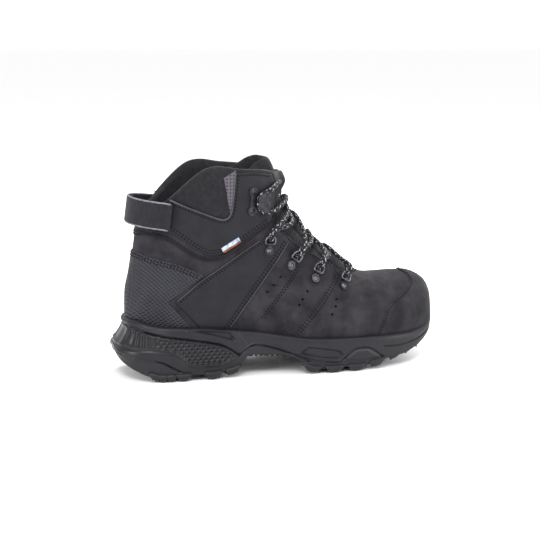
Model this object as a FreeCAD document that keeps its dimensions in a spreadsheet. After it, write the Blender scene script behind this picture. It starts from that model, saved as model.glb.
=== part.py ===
import FreeCAD, Part
import Sketcher
import math
import os
from FreeCAD import Vector

# A right-foot safety boot. +X runs to the toe, +Y to the inner (medial) side, +Z up; the origin lies
# on the ground below the middle of the bounding box. All lengths are in millimetres.

doc = FreeCAD.newDocument("work_boot")

# ---------------------------------------------------------------------------------------------
# Driving dimensions
# ---------------------------------------------------------------------------------------------
DIMENSIONS = [
    ("overlay_outer", 1.1, "outer face of the overlays, from the upper's form"),
    ("overlay_inner", -0.3, "inner face of the overlays"),
    ("shell_outer", -0.6, "outer face of the main upper"),
    ("shell_inner", -2.0, "inner face of the main upper"),
    ("stiffener_outer", -2.3, "outer face of the steel cap and the counter"),
    ("stiffener_inner", -4.1, "inner face of the steel cap and the counter"),
    ("lining_outer", -4.4, "outer face of the lining"),
    ("lining_inner", -6.2, "inner face of the lining"),
    ("foam_outer", -2.3, "outer face of the collar padding"),
    ("foam_inner", -10.0, "inner face of the collar padding"),
    ("tongue_outer", -4.2, "outer face of the tongue at its middle"),
    ("tongue_thickness", 5.5, "padded thickness of the tongue"),
    ("tongue_tuck", 9.0, "how much deeper the tongue's edges run inside the collar"),
    ("sole_clearance", 0.4, "gap between the upper and the sole's rim"),
    ("board_thickness", 2.0, "insole board"),
    ("plate_thickness", 1.0, "puncture-resistant plate"),
    ("footbed_thickness", 5.0, "removable footbed"),
    ("layer_gap", 0.2, "gap between stacked flat layers"),
    ("shank_length", 92.0, "steel shank"),
    ("shank_width", 20.0, "steel shank"),
    ("shank_thickness", 1.6, "steel shank"),
    ("tread_depth", 4.5, "depth of the tread grooves"),
    ("tread_groove", 5.0, "width of the tread grooves"),
    ("badge_thickness", 1.2, "lozenges set into the sole's sides"),
    ("wire_radius", 0.85, "D-ring wire"),
    ("ring_half_width", 4.5, "D-ring, middle of the wire"),
    ("ring_leg", 3.2, "D-ring, from the bar to the middle of its arc"),
    ("ring_corner", 1.3, "D-ring corner bend"),
    ("hinge_clearance", 0.05, "between the ring's bar and its bracket"),
    ("bracket_wall", 0.8, "sheet thickness of the brackets"),
    ("bracket_width", 4.6, "sleeve length on the ring's bar"),
    ("bracket_reach", 6.4, "from the ring's bar to the rivet"),
    ("plate_radius", 3.9, "round end of a bracket"),
    ("rivet_shank_radius", 1.1, "rivet shank"),
    ("rivet_head_radius", 2.3, "rivet head"),
    ("rivet_head_height", 1.3, "rivet head"),
    ("ring_lift", 22.0, "how far a tight lace lifts the D-rings, in degrees"),
    ("hardware_lift", 0.4, "gap under the hardware, which bridges the curved leather"),
    ("hook_plate_radius", 4.2, "round ends of a lace hook's plate"),
    ("hook_spread", 17.0, "distance between a lace hook's rivets"),
    ("hook_gap", 5.6, "space under a lace hook's wing"),
    ("loop_length", 62.0, "how far round the heel the pull loop's band runs on each side"),
    ("loop_width", 25.0, "width of the pull loop's band"),
    ("loop_thickness", 2.2, "thickness of the pull loop's band"),
    ("lace_diameter", 3.4, "round lace"),
    ("aglet_length", 24.0, "lace tips"),
]
sheet = doc.addObject("Spreadsheet::Sheet", "Sheet")
for row, (alias, value, meaning) in enumerate(DIMENSIONS, start=1):
    sheet.set(f"A{row}", alias)
    sheet.set(f"B{row}", str(value))
    sheet.set(f"C{row}", meaning)
    sheet.setAlias(f"B{row}", alias)
doc.recompute()


def size(alias):
    """A driving dimension, read from the sheet."""
    return float(getattr(sheet, alias))


# ---------------------------------------------------------------------------------------------
# The upper's form: rings round the foot, from the feather edge (0) to above the collar (9)
# ---------------------------------------------------------------------------------------------
class Curve:
    """A smooth curve y(x) through points, which never overshoots between them."""

    def __init__(self, points):
        points = sorted(points)
        self.x = [point[0] for point in points]
        self.y = [point[1] for point in points]
        steps = [b - a for a, b in zip(self.x, self.x[1:])]
        rises = [(b - a) / step for a, b, step in zip(self.y, self.y[1:], steps)]
        self.slope = [rises[0]] + [0.0] * (len(points) - 2) + [rises[-1]]
        for i in range(1, len(points) - 1):
            if rises[i - 1] * rises[i] > 0:
                before = 2 * steps[i] + steps[i - 1]
                after = steps[i] + 2 * steps[i - 1]
                self.slope[i] = (before + after) / (before / rises[i - 1] + after / rises[i])

    def __call__(self, x):
        x = min(max(x, self.x[0]), self.x[-1])
        i = 0
        while i < len(self.x) - 2 and x > self.x[i + 1]:
            i += 1
        step = self.x[i + 1] - self.x[i]
        u = (x - self.x[i]) / step
        return (self.y[i] * (2 * u**3 - 3 * u**2 + 1) + self.y[i + 1] * (3 * u**2 - 2 * u**3)
                + step * (self.slope[i] * (u**3 - 2 * u**2 + u) + self.slope[i + 1] * (u**3 - u**2)))


# Side view, (height, x) up the back of the heel.
BACK = Curve([(30, -138), (38, -139.5), (55, -141.5), (75, -141), (95, -137), (115, -133.5),
              (134, -130.5), (152, -128), (200, -125)])
# Side view, (x, height) from the toe's tip over the instep and up the front of the shaft.
RIDGE = [(147.8, 30), (149.2, 37), (150.6, 46), (151.8, 58), (149, 67.5), (141.5, 75), (129, 80.2),
         (116, 81.6), (103, 80.8), (91, 80.8), (80, 83), (69, 88.5), (55, 99), (40, 111.5),
         (26, 124.5), (15, 138), (8, 149.5), (3, 160), (-1, 172), (-5, 186), (-9, 203)]
RIDGE_X = Curve([(i, point[0]) for i, point in enumerate(RIDGE)])
RIDGE_Z = Curve([(i, point[1]) for i, point in enumerate(RIDGE)])
RIDGE_TOP = Curve(RIDGE[3:])
RING_FRONT = Curve(list(enumerate([0.0, 1.9, 3.9, 6.2, 9.0, 11.0, 13.0, 15.0, 17.0, 20.0])))
RING_BACK = Curve(list(enumerate([38, 54, 71, 88, 104, 118, 132, 148, 166, 200])))
RING_SAG = Curve(list(enumerate([7, 3.5, 6, 8, 7, 4, 1.5, 0, 0, 0])))
LAST_RING = 9
# Half widths of the foot against x, outer and inner side, and of the shaft against height.
LATERAL = Curve([(-142, 22), (-130, 29), (-110, 33), (-60, 36), (-20, 40), (20, 46), (50, 49.3),
                 (75, 49.3), (100, 46.5), (120, 41), (134, 34), (144, 25), (151, 13)])
MEDIAL = Curve([(-142, 22), (-130, 29), (-110, 33), (-60, 34.5), (-20, 37), (20, 42), (50, 47.3),
                (75, 49.3), (100, 48), (120, 44), (135, 37), (145, 27), (151, 16)])
SHAFT = Curve([(30, 33), (50, 35), (80, 35.5), (105, 36), (125, 37), (150, 38.5), (175, 40.5),
               (203, 41)])
SHAFT_FRONT = Curve([(30, 20), (60, 24), (90, 34), (111.5, 41), (124.5, 28), (138, 17),
                     (149.5, 10), (160, 4.5), (172, 0.5), (186, -4), (203, -8.5)])


def clamp(value, low, high):
    return min(max(value, low), high)


def half_width(x, z, half_foot):
    """Half width of the form at a point of the side view: the foot's dome joined to the shaft."""
    top = 203 - (x + 9) * 6 if x < -9 else RIDGE_TOP(x)
    rise = clamp((z - 25) / max(top - 25, 1e-6), 0, 1)
    fade = clamp((x + 110) / 110, 0, 1)
    low = 1 - 0.05 * clamp((48 - z) / 20, 0, 1) ** 2
    foot = half_foot(x) * (1 - rise**2.6) ** 0.62 * fade * fade * (3 - 2 * fade) * low
    back, front = BACK(z), SHAFT_FRONT(z)
    along = clamp((x - back) / (front - back), 0, 1)
    shaft = SHAFT(z) * (1 - abs(1 - 2 * along) ** 2.5) ** 0.5 * low
    return (foot**6 + shaft**6) ** (1 / 6)


def side_point(ring, turn):
    """Side-view x and z of the form, where turn runs from 0 at the heel to pi at the front."""
    front, heel_height = RING_FRONT(ring), RING_BACK(ring)
    x_front, z_front, x_back = RIDGE_X(front), RIDGE_Z(front), BACK(heel_height)
    along = (1 - math.cos(turn)) / 2
    sag = RING_SAG(ring) * math.sin(math.pi * along * along)
    return x_back + along * (x_front - x_back), heel_height + along * (z_front - heel_height) - sag


RING_STEPS, TURN_STEPS, SMOOTHING = 72, 48, 6


def smooth_widths(half_foot):
    """Half widths over rings and turns, smoothed so that foot and shaft flow into each other."""
    grid = []
    for i in range(RING_STEPS + 1):
        ring = i * LAST_RING / RING_STEPS
        points = [side_point(ring, j * math.pi / TURN_STEPS) for j in range(TURN_STEPS + 1)]
        grid.append([half_width(x, z, half_foot) for x, z in points])
        grid[-1][0] = grid[-1][-1] = 0.0
    for _ in range(SMOOTHING):
        for line in grid:
            wide = [-line[1]] + line + [-line[-2]]
            line[:] = [(wide[j] + 2 * wide[j + 1] + wide[j + 2]) / 4 for j in range(len(line))]
            line[0] = line[-1] = 0.0
        first = [2 * a - b for a, b in zip(grid[0], grid[1])]
        last = [2 * a - b for a, b in zip(grid[-1], grid[-2])]
        tall = [first] + grid + [last]
        grid = [[(a + 2 * b + c) / 4 for a, b, c in zip(*tall[i:i + 3])]
                for i in range(len(grid))]
    return grid


WIDTHS = {-1: smooth_widths(LATERAL), 1: smooth_widths(MEDIAL)}


def cubic(p0, p1, p2, p3, u):
    """Catmull-Rom value between p1 and p2."""
    return p1 + 0.5 * u * (p2 - p0 + u * (2 * p0 - 5 * p1 + 4 * p2 - p3 + u * (3 * (p1 - p2) + p3 - p0)))


def grid_width(side, ring, turn):
    grid = WIDTHS[side]
    ring_place = clamp(ring / LAST_RING * RING_STEPS, 0, RING_STEPS - 1e-9)
    turn_place = clamp(turn / math.pi * TURN_STEPS, 0, TURN_STEPS - 1e-9)
    i, j = int(ring_place), int(turn_place)

    def width(row, column):
        line = grid[clamp(row, 0, RING_STEPS)]
        if column < 0:
            return -line[-column]
        if column > TURN_STEPS:
            return -line[2 * TURN_STEPS - column]
        return line[column]

    rows = [cubic(*[width(row, j + k) for k in (-1, 0, 1, 2)], turn_place - j)
            for row in range(i - 1, i + 3)]
    return cubic(*rows, ring_place - i)


def form_point(ring, turn):
    """A point of the form. Turn 0 is the heel and pi the front of the outer side; turns below 0
    and above pi are on the inner side."""
    side = -1
    if turn < 0:
        side, turn = 1, -turn
    elif turn > math.pi:
        side, turn = 1, 2 * math.pi - turn
    x, z = side_point(ring, turn)
    return Vector(x, side * grid_width(side, ring, turn), z)


def form_normal(ring, turn):
    """Outward unit normal of the form."""
    step = 0.02
    ring = clamp(ring, step, LAST_RING - step)
    up = form_point(ring + step, turn) - form_point(ring - step, turn)
    forward = form_point(ring, turn + step) - form_point(ring, turn - step)
    return forward.cross(up).normalize()


def offset_point(ring, turn, offset):
    return form_point(ring, turn) + form_normal(ring, turn) * offset


def locate(x, z):
    """Ring and turn of a side-view point on the outer side."""
    low, high = 0.0, float(LAST_RING)
    for _ in range(40):
        ring = (low + high) / 2
        front, heel_height = RING_FRONT(ring), RING_BACK(ring)
        x_back, x_front = BACK(heel_height), RIDGE_X(front)
        along = clamp((x - x_back) / (x_front - x_back), 0, 1)
        turn = math.acos(1 - 2 * along)
        if side_point(ring, turn)[1] < z:
            low = ring
        else:
            high = ring
    return ring, turn


# ---------------------------------------------------------------------------------------------
# Solids between two offsets of the form
# ---------------------------------------------------------------------------------------------
def between(a, b, share):
    """A point of two coordinates on the way from a to b."""
    return tuple(p + (q - p) * share for p, q in zip(a, b))


def spline_places(count):
    """Where the poles of a clamped cubic spline sit, from 0 to 1."""
    step = 1 / (count - 3)
    return [0.0, step / 3] + [k * step for k in range(1, count - 3)] + [1 - step / 3, 1.0]


def sharpened(line):
    """Poles moved outwards so that the spline passes through the points they came from."""
    result = list(line)
    for i in range(3, len(line) - 3):
        result[i] = line[i] - (line[i - 1] - line[i] * 2 + line[i + 1]) / 6
    return result


def spline_surface(points):
    """A cubic B-spline surface that follows a grid of points taken at spline_places."""
    rows = [sharpened(row) for row in points]
    poles = [list(row) for row in zip(*[sharpened(column) for column in zip(*rows)])]
    knots, mults = [], []
    for count in (len(poles), len(poles[0])):
        knots.append([k / (count - 3) for k in range(count - 2)])
        mults.append([4] + [1] * (count - 4) + [4])
    surface = Part.BSplineSurface()
    surface.buildFromPolesMultsKnots(poles, mults[0], mults[1], knots[0], knots[1], False, False, 3, 3)
    return surface


def solid_between(outside, inside):
    """A closed solid between two equal grids of points: two smooth faces and ruled edges."""
    surfaces = [spline_surface(outside), spline_surface(inside)]
    faces = [surface.toShape() for surface in surfaces]
    for direction, end in (("uIso", 0), ("uIso", 1), ("vIso", 0), ("vIso", 1)):
        edges = [getattr(surface, direction)(end).toShape() for surface in surfaces]
        faces.append(Part.makeRuledSurface(*edges))
    shell = Part.makeShell(faces)
    shell.sewShape()
    solid = Part.makeSolid(shell)
    if solid.Volume < 0:
        solid.reverse()
    return solid


def spaced(line, count, weights):
    """Points along a line in two coordinates, where a spline's poles go."""
    lengths = [0.0]
    for a, b in zip(line, line[1:]):
        lengths.append(lengths[-1] + math.hypot(*[(q - p) * w for p, q, w in zip(a, b, weights)]))
    result, i = [], 0
    for share in spline_places(count):
        along = lengths[-1] * share
        while i < len(lengths) - 2 and along > lengths[i + 1]:
            i += 1
        result.append(between(line[i], line[i + 1], (along - lengths[i]) / (lengths[i + 1] - lengths[i])))
    return result


def add_shape(label, shape):
    """A sub-part whose shape is worked out in code."""
    feature = doc.addObject("Part::Feature", label)
    feature.Label = label
    feature.Shape = shape
    parts.append(feature)
    return feature


def add_layer(label, places, inner_offset, outer_offset):
    """A sheet of the upper over a grid of places, between two offsets of the form."""
    outside = [[offset_point(*place, outer_offset) for place in row] for row in places]
    inside = [[offset_point(*place, inner_offset) for place in row] for row in places]
    return add_shape(label, solid_between(outside, inside))


def side_places(side, lower, upper, along=36, across=18):
    """Places of a panel on one side (-1 outer, 1 inner) between two lines of the side view."""
    low, high = [spaced(line, along, (1, 1)) for line in (lower, upper)]
    grid = [[locate(*between(a, b, share)) for share in spline_places(across)]
            for a, b in zip(low, high)]
    return grid if side < 0 else [[(ring, -turn) for ring, turn in row] for row in grid]


def crossing_places(lower, upper, over_front, along=44, across=16):
    """Places of a panel that crosses the heel or the front, from lines on the outer side that
    start at the middle. The inner side mirrors them."""
    lines = []
    for line in (lower, upper):
        places = [locate(*point) for point in line]
        mirror = 2 * math.pi if over_front else 0
        mirrored = [(ring, mirror - turn) for ring, turn in reversed(places)]
        skip = 1 if abs(places[0][1] - mirror / 2) < 1e-6 else 0
        lines.append(mirrored + places[skip:])
    low, high = [spaced(line, along, (15, 60)) for line in lines]
    return [[between(a, b, share) for share in spline_places(across)] for a, b in zip(low, high)]


parts = []

# ---------------------------------------------------------------------------------------------
# The upper
# ---------------------------------------------------------------------------------------------
SIDES = {"lateral": -1, "medial": 1}
# Lines of the side view, (x, height), from the back to the front.
BOTTOM = [(-138, 42), (-120, 39), (-60, 35.5), (0, 32), (60, 28)]
COLLAR_TOP = [(-126, 146), (-116, 152), (-104, 162), (-91, 174), (-81, 182), (-71, 186), (-58, 187),
              (-40, 184), (-24, 182)]
TOE_TIP = (151, 24)

for name, side in SIDES.items():
    add_layer(f"quarter_{name}",
              side_places(side, BOTTOM, [(-133, 118), (-100, 118), (-60, 118), (-20, 119.5), (14, 113),
                                         (37, 100), (56, 90)]),
              size("shell_inner"), size("shell_outer"))
    add_layer(f"quarter_lining_{name}",
              side_places(side, BOTTOM, [(-133, 114), (-100, 113), (-60, 113), (-20, 109), (6, 101),
                                         (28, 89), (48, 78)]),
              size("lining_inner"), size("lining_outer"))
    add_layer(f"collar_padding_{name}",
              side_places(side, [(-131, 119), (-100, 119), (-60, 119), (-26, 120)], COLLAR_TOP),
              size("foam_inner"), size("foam_outer"))
    add_layer(f"collar_fabric_{name}",
              side_places(side, [(-131, 119), (-100, 119), (-60, 119), (-20, 120.5)],
                          COLLAR_TOP[:-1] + [(-22, 182)]),
              size("shell_inner"), size("shell_outer"))
    add_layer(f"collar_overlay_{name}",
              side_places(side, [(-108, 136), (-100, 129), (-88, 119), (-77, 112), (-63, 112), (-46, 120),
                                 (-16, 137)],
                          [(-101, 158), (-80, 149), (-66, 143), (-55, 146), (-51, 160), (-49, 183),
                           (-30, 183), (-14, 181)]),
              size("overlay_inner"), size("overlay_outer"))
    add_layer(f"side_panel_{name}",
              side_places(side, [(-100, 69), (-82, 47), (-52, 44), (-20, 40), (2, 36)],
                          [(-79, 88), (-38, 116), (-13, 128), (14, 113), (36, 99.5), (45, 91)]),
              size("overlay_inner"), size("overlay_outer"))

add_layer("heel_overlay",
          crossing_places([(-143, 56), (-120, 50), (-108, 49.5)], [(-134, 114), (-118, 109), (-96, 102)], False),
          size("overlay_inner"), size("overlay_outer"))
add_layer("heel_counter",
          crossing_places([(-141, 42), (-110, 40), (-72, 40)], [(-141, 92), (-110, 88), (-78, 60)], False),
          size("stiffener_inner"), size("stiffener_outer"))
add_layer("heel_strip",
          crossing_places([(-134, 117), (-125, 116)], [(-128, 150), (-120, 149)], False, 12, 12),
          size("overlay_inner"), size("overlay_outer"))
add_layer("vamp",
          crossing_places([TOE_TIP, (140, 25), (110, 27), (66, 29)],
                          [(76, 85), (68, 84.5), (60.5, 83), (59.5, 76), (60.5, 60), (62, 33)], True),
          size("shell_inner"), size("shell_outer"))
add_layer("toe_overlay",
          crossing_places([TOE_TIP, (140, 25), (112, 27), (88, 29)],
                          [(122, 81), (126, 76), (121, 68), (103, 60), (92, 50), (84, 34)], True),
          size("overlay_inner"), size("overlay_outer"))
add_layer("steel_toe_cap",
          crossing_places([TOE_TIP, (140, 25), (118, 27), (104, 28)],
                          [(98, 81), (97, 75), (95, 60), (94, 36)], True),
          size("stiffener_inner"), size("stiffener_outer"))
add_layer("toe_cap_trim",
          crossing_places([(94.2, 81), (93.2, 75), (91.2, 60), (90.2, 36)],
                          [(90, 81), (89, 75), (87, 60), (86, 36)], True, 36, 6),
          size("stiffener_inner"), size("stiffener_outer"))
add_layer("vamp_lining",
          crossing_places([TOE_TIP, (140, 25), (110, 27), (66, 29)],
                          [(86, 82), (82, 74), (73, 58), (66, 33)], True),
          size("lining_inner"), size("lining_outer"))


def tongue_depth(turn):
    """How much deeper than its middle the tongue runs, as it tucks in behind the eyelet rows."""
    share = clamp((abs(turn - math.pi) - 0.32) / 0.36, 0, 1)
    return size("tongue_tuck") * share * share * (3 - 2 * share)


def add_tongue():
    places = crossing_places([(80, 83.5), (76, 80), (60, 80)],
                             [(-5, 189), (-12, 190), (-40, 190)], True, 30, 30)
    outer, inner = size("tongue_outer"), size("tongue_outer") - size("tongue_thickness")
    grids = []
    for offset in (outer, inner):
        grids.append([[offset_point(ring, turn, offset - tongue_depth(turn)) for ring, turn in row]
                      for row in places])
    return add_shape("tongue", solid_between(*grids))


add_tongue()

# ---------------------------------------------------------------------------------------------
# The sole
# ---------------------------------------------------------------------------------------------
# Side-view lines, (x, height), from the heel to the toe.
FEATHER = [(-145.5, 59), (-137, 53.5), (-120, 50), (-91, 48), (-54, 44), (-31, 41), (0, 35.5), (17, 33),
           (40, 31.5), (80, 31), (115, 31), (134, 33.5), (146, 38), (152.6, 44)]
POD_TOP = [(-146.8, 48), (-133, 45), (-114, 41), (-90, 37), (-64, 31), (-47, 20.5)]
TREAD_TOP_HEEL = [(-154, 25.5), (-143, 22.5), (-131, 20), (-118, 18.5), (-111, 15), (-101, 9.5), (-94, 8),
                  (-62, 8.5), (-56, 12.5), (-47, 20.5)]
TREAD_TOP_FRONT = [(-47, 20.5), (-37, 28), (-31, 29), (-20, 27), (-3, 21), (16, 12), (29, 9.5), (60, 9.5),
                   (90, 12), (110, 16), (130, 22), (153.8, 34)]
GROUND_HEEL = [(-154, 25.5), (-152.5, 20), (-148, 15), (-137, 8.5), (-125, 3), (-116, 0)]
GROUND_ARCH = [(-70, 0), (-56, 2.5), (-50, 4), (-44, 9), (-38, 14.5), (-20, 14.5), (0, 12.5), (10, 6),
               (14, 3), (20, 1), (28, 0)]
GROUND_TOE = [(66, 0), (80, 2.5), (96, 6), (110, 9.5), (122, 13.5), (132, 18), (142, 24), (153.8, 34)]
# The floor that the boot's inside stands on, with its spring at the toe.
FLOOR = [(-160, 38), (-139.5, 38), (-100, 36.2), (-60, 34.1), (-20, 31), (20, 27.6), (60, 25.4), (85, 25),
         (105, 25), (125, 26.2), (147, 28), (165, 29)]
SHANK_MIDDLE = -20
# Half widths of the sole, (x, y), from the heel to the toe, outer and inner side.
SOLE_LATERAL = [(-153, 10), (-149, 22), (-138, 33), (-120, 39), (-95, 42), (-60, 43), (-30, 44.5),
                (0, 49.5), (30, 53), (58, 54), (85, 53), (108, 49), (127, 42), (141, 31.5), (149.5, 18.5), (152.8, 9)]
SOLE_MEDIAL = [(-153, 10), (-149, 22), (-138, 33), (-120, 39), (-95, 41.5), (-60, 41), (-30, 42),
               (0, 45.5), (30, 50), (58, 53.3), (85, 54), (108, 51.5), (128, 45), (142, 34.5), (150, 20.5), (153, 9.5)]


def smooth_edge(points):
    curve = Part.BSplineCurve()
    curve.interpolate([Vector(*point) for point in points])
    return curve.toShape()


def side_profile(*lines):
    """A face in the XZ plane bounded by lines of (x, height), each straight or smooth."""
    edges = []
    for line in lines:
        points = [(x, 0, z) for x, z in line]
        if len(points) == 2:
            edges.append(Part.makeLine(Vector(*points[0]), Vector(*points[1])))
        else:
            edges.append(smooth_edge(points))
    return Part.Face(Part.Wire(edges))


def extruded_profile(*lines):
    face = side_profile(*lines)
    face.translate(Vector(0, -70, 0))
    return face.extrude(Vector(0, 140, 0))


def prism(outline):
    """An upright block on a closed smooth outline in plan."""
    curve = Part.BSplineCurve()
    curve.interpolate([Vector(x, y, -5) for x, y in outline], PeriodicFlag=True)
    return Part.Face(Part.Wire(curve.toShape())).extrude(Vector(0, 0, 100))


def sole_prism():
    outline = ([(-154, 0)] + [(x, -y) for x, y in SOLE_LATERAL] + [(153.8, 0)]
               + list(reversed(SOLE_MEDIAL)))
    return prism(outline)


def above_floor(outline, low, high):
    """What stands on the boot's floor inside an outline, between two heights above the floor."""
    lower, upper = [[(x, z + height) for x, z in FLOOR] for height in (low, high)]
    ends = [[lower[k], upper[k]] for k in (0, -1)]
    return extruded_profile(lower, ends[1], upper, ends[0]).common(prism(outline))


def upper_outline(offset, ring, count=44):
    """Plan points of an offset of the form round one ring."""
    points = [offset_point(ring, 2 * math.pi * k / count, offset) for k in range(count)]
    return [(point.x, point.y) for point in points]


def widest_outline(offset, count=44):
    """Plan points that stand clear of an offset of the form at every height within the rim."""
    points = []
    for k in range(count):
        turn = 2 * math.pi * k / count
        normal = form_normal(0.9, turn)
        ring_points = [offset_point(ring, turn, offset) for ring in (0.1, 0.4, 0.7, 1.0)]
        best = max(ring_points, key=lambda point: point.x * normal.x + point.y * normal.y)
        points.append((best.x, best.y))
    return points


def sole_badges(blank):
    """Plain lozenges set flush into each side of the sole, below the ball of the foot."""
    outline = [(50, 13), (61, 20.5), (72, 20.5), (84, 13), (50, 13)]
    face = Part.Face(Part.makePolygon([Vector(x, 0, z) for x, z in outline]))
    badges = {}
    for name, side in SIDES.items():
        inside = blank.translated(Vector(0, -size("badge_thickness") * side, 0))
        badges[f"sole_badge_{name}"] = face.extrude(Vector(0, 70 * side, 0)).common(blank).cut(inside)
    return badges


def add_sole():
    blank = sole_prism()
    rim = widest_outline(size("overlay_outer") + size("sole_clearance"))
    cavity = above_floor(rim, 0, 45)
    length, width = size("shank_length"), size("shank_width")
    shank_plan = Part.makeBox(length, width, 100, Vector(SHANK_MIDDLE - length / 2, -width / 2, 0))
    shank = above_floor(rim, -size("shank_thickness"), 0).common(shank_plan)
    toe_edge = [FEATHER[-1], (153.8, 40), (153.8, 34)]
    body = extruded_profile(FEATHER, toe_edge[:2], toe_edge[1:], TREAD_TOP_FRONT, POD_TOP,
                            [POD_TOP[0], FEATHER[0]])
    badges = sole_badges(blank)
    add_shape("midsole", body.common(blank).cut([cavity, shank] + list(badges.values())))
    add_shape("shank", shank)
    for label, badge in badges.items():
        add_shape(label, badge)
    pod = extruded_profile(POD_TOP, TREAD_TOP_HEEL, [TREAD_TOP_HEEL[0], POD_TOP[0]])
    add_shape("heel_pod", pod.common(blank).cut(cavity))
    tread = extruded_profile(GROUND_HEEL, [(-116, 0), (-70, 0)], GROUND_ARCH, [(28, 0), (66, 0)],
                             GROUND_TOE, TREAD_TOP_FRONT, TREAD_TOP_HEEL).common(blank)
    add_shape("outsole", tread.cut([cavity] + tread_grooves()))


# Tread grooves: middle x, ground height there, slant in degrees.
GROOVES = [(-104, 0, 14), (-84, 0, 14), (-64, 1.5, 14), (17, 1, -16), (34, 0, -16), (52, 0, -16), (72, 1, -16),
           (92, 5, -16), (110, 9.5, -16)]


def tread_grooves():
    """Slanted grooves across the tread, mirrored about a groove down its middle."""
    width, depth = size("tread_groove"), size("tread_depth")
    cutters = []
    for middle, ground, slant in GROOVES:
        for side in (-1, 1):
            cutter = Part.makeBox(width, 70, depth + 5, Vector(-width / 2, 4.5, -5))
            cutter.rotate(Vector(0, 0, 0), Vector(0, 0, 1), slant)
            if side < 0:
                cutter = cutter.mirror(Vector(0, 0, 0), Vector(0, 1, 0))
            cutter.translate(Vector(middle, 0, ground))
            cutters.append(cutter)
    for low, high in ((-108, -60), (16, 106)):
        cutters.append(Part.makeBox(high - low, width, depth + 5, Vector(low, -width / 2, -5)))
    return cutters


def add_insides():
    """The flat layers that the foot stands on, from the board up."""
    inside = upper_outline(size("lining_inner") - 2 * size("sole_clearance"), 0.15)
    height = size("layer_gap")
    for label, alias in (("insole_board", "board_thickness"), ("puncture_plate", "plate_thickness"),
                         ("footbed", "footbed_thickness")):
        add_shape(label, above_floor(inside, height, height + size(alias)))
        height += size(alias) + size("layer_gap")


add_sole()
add_insides()


# ---------------------------------------------------------------------------------------------
# Hardware
# ---------------------------------------------------------------------------------------------
# Side-view places, (x, height), of each eyelet's rivet and of the middle of its ring, top first.
EYELETS = [((-19, 113), (-18, 124)), ((1, 99), (7, 107)), ((24, 85), (29, 94)), ((52, 75), (56, 84))]
# A lace hook's lower and upper rivet.
HOOK = ((-34, 150), (-33, 166))


def surface_frame(side, start, end, share, height):
    """A placement on the upper: local Y from start to end, Z outwards, at a share of the way."""
    def on_form(x, z, offset=0):
        ring, turn = locate(x, z)
        return offset_point(ring, turn if side < 0 else -turn, offset)

    x, z = between(start, end, share)
    origin, outwards = on_form(x, z), on_form(x, z, 1) - on_form(x, z)
    outwards.normalize()
    along = on_form(*end) - on_form(*start)
    along -= outwards * along.dot(outwards)
    along.normalize()
    across = along.cross(outwards)
    origin += outwards * height
    return FreeCAD.Placement(FreeCAD.Matrix(across.x, along.x, outwards.x, origin.x,
                                            across.y, along.y, outwards.y, origin.y,
                                            across.z, along.z, outwards.z, origin.z, 0, 0, 0, 1))


def plane(body, role):
    return next(item for item in body.Origin.OriginFeatures if item.Role == role)


def add_sketch(body, label, role):
    sketch = body.newObject("Sketcher::SketchObject", label)
    sketch.AttachmentSupport = (plane(body, role), [""])
    sketch.MapMode = "FlatFace"
    return sketch


def add_ring(label, placement):
    """A D-shaped wire ring: its bar lies on local X, and its arc stands up along local Y."""
    half, leg, corner = size("ring_half_width"), size("ring_leg"), size("ring_corner")
    body = doc.addObject("PartDesign::Body", label)
    body.Label = label
    path = add_sketch(body, f"{label}_path", "XY_Plane")
    up = Vector(0, 0, 1)

    def arc(x, y, radius, start, end):
        circle = Part.Circle(Vector(x, y, 0), up, radius)
        return Part.ArcOfCircle(circle, math.radians(start), math.radians(end))

    inner_half = half - corner
    path.addGeometry([
        Part.LineSegment(Vector(-inner_half, 0, 0), Vector(inner_half, 0, 0)),
        arc(inner_half, corner, corner, 270, 360),
        Part.LineSegment(Vector(half, corner, 0), Vector(half, leg, 0)),
        arc(0, leg, half, 0, 180),
        Part.LineSegment(Vector(-half, leg, 0), Vector(-half, corner, 0)),
        arc(-inner_half, corner, corner, 180, 270),
    ], False)
    section = add_sketch(body, f"{label}_wire", "YZ_Plane")
    section.addGeometry([Part.Circle(Vector(0, 0, 0), up, size("wire_radius"))], False)
    section.addConstraint(Sketcher.Constraint("Coincident", 0, 3, -1, 1))
    radius = section.addConstraint(Sketcher.Constraint("Radius", 0, size("wire_radius")))
    section.setExpression(f"Constraints[{radius}]", "Sheet.wire_radius")
    pipe = body.newObject("PartDesign::AdditivePipe", f"{label}_pipe")
    pipe.Profile = section
    pipe.Spine = path
    body.Tip = pipe
    body.Placement = placement
    parts.append(body)
    return body


def cylinder(label, radius, height, placement):
    item = doc.addObject("Part::Cylinder", label)
    item.setExpression("Radius", radius)
    item.setExpression("Height", height)
    item.Placement = placement
    return item


def turned(x, y, z, axis=(0, 0, 1), angle=0):
    return FreeCAD.Placement(Vector(x, y, z), FreeCAD.Rotation(Vector(*axis), angle))


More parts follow.
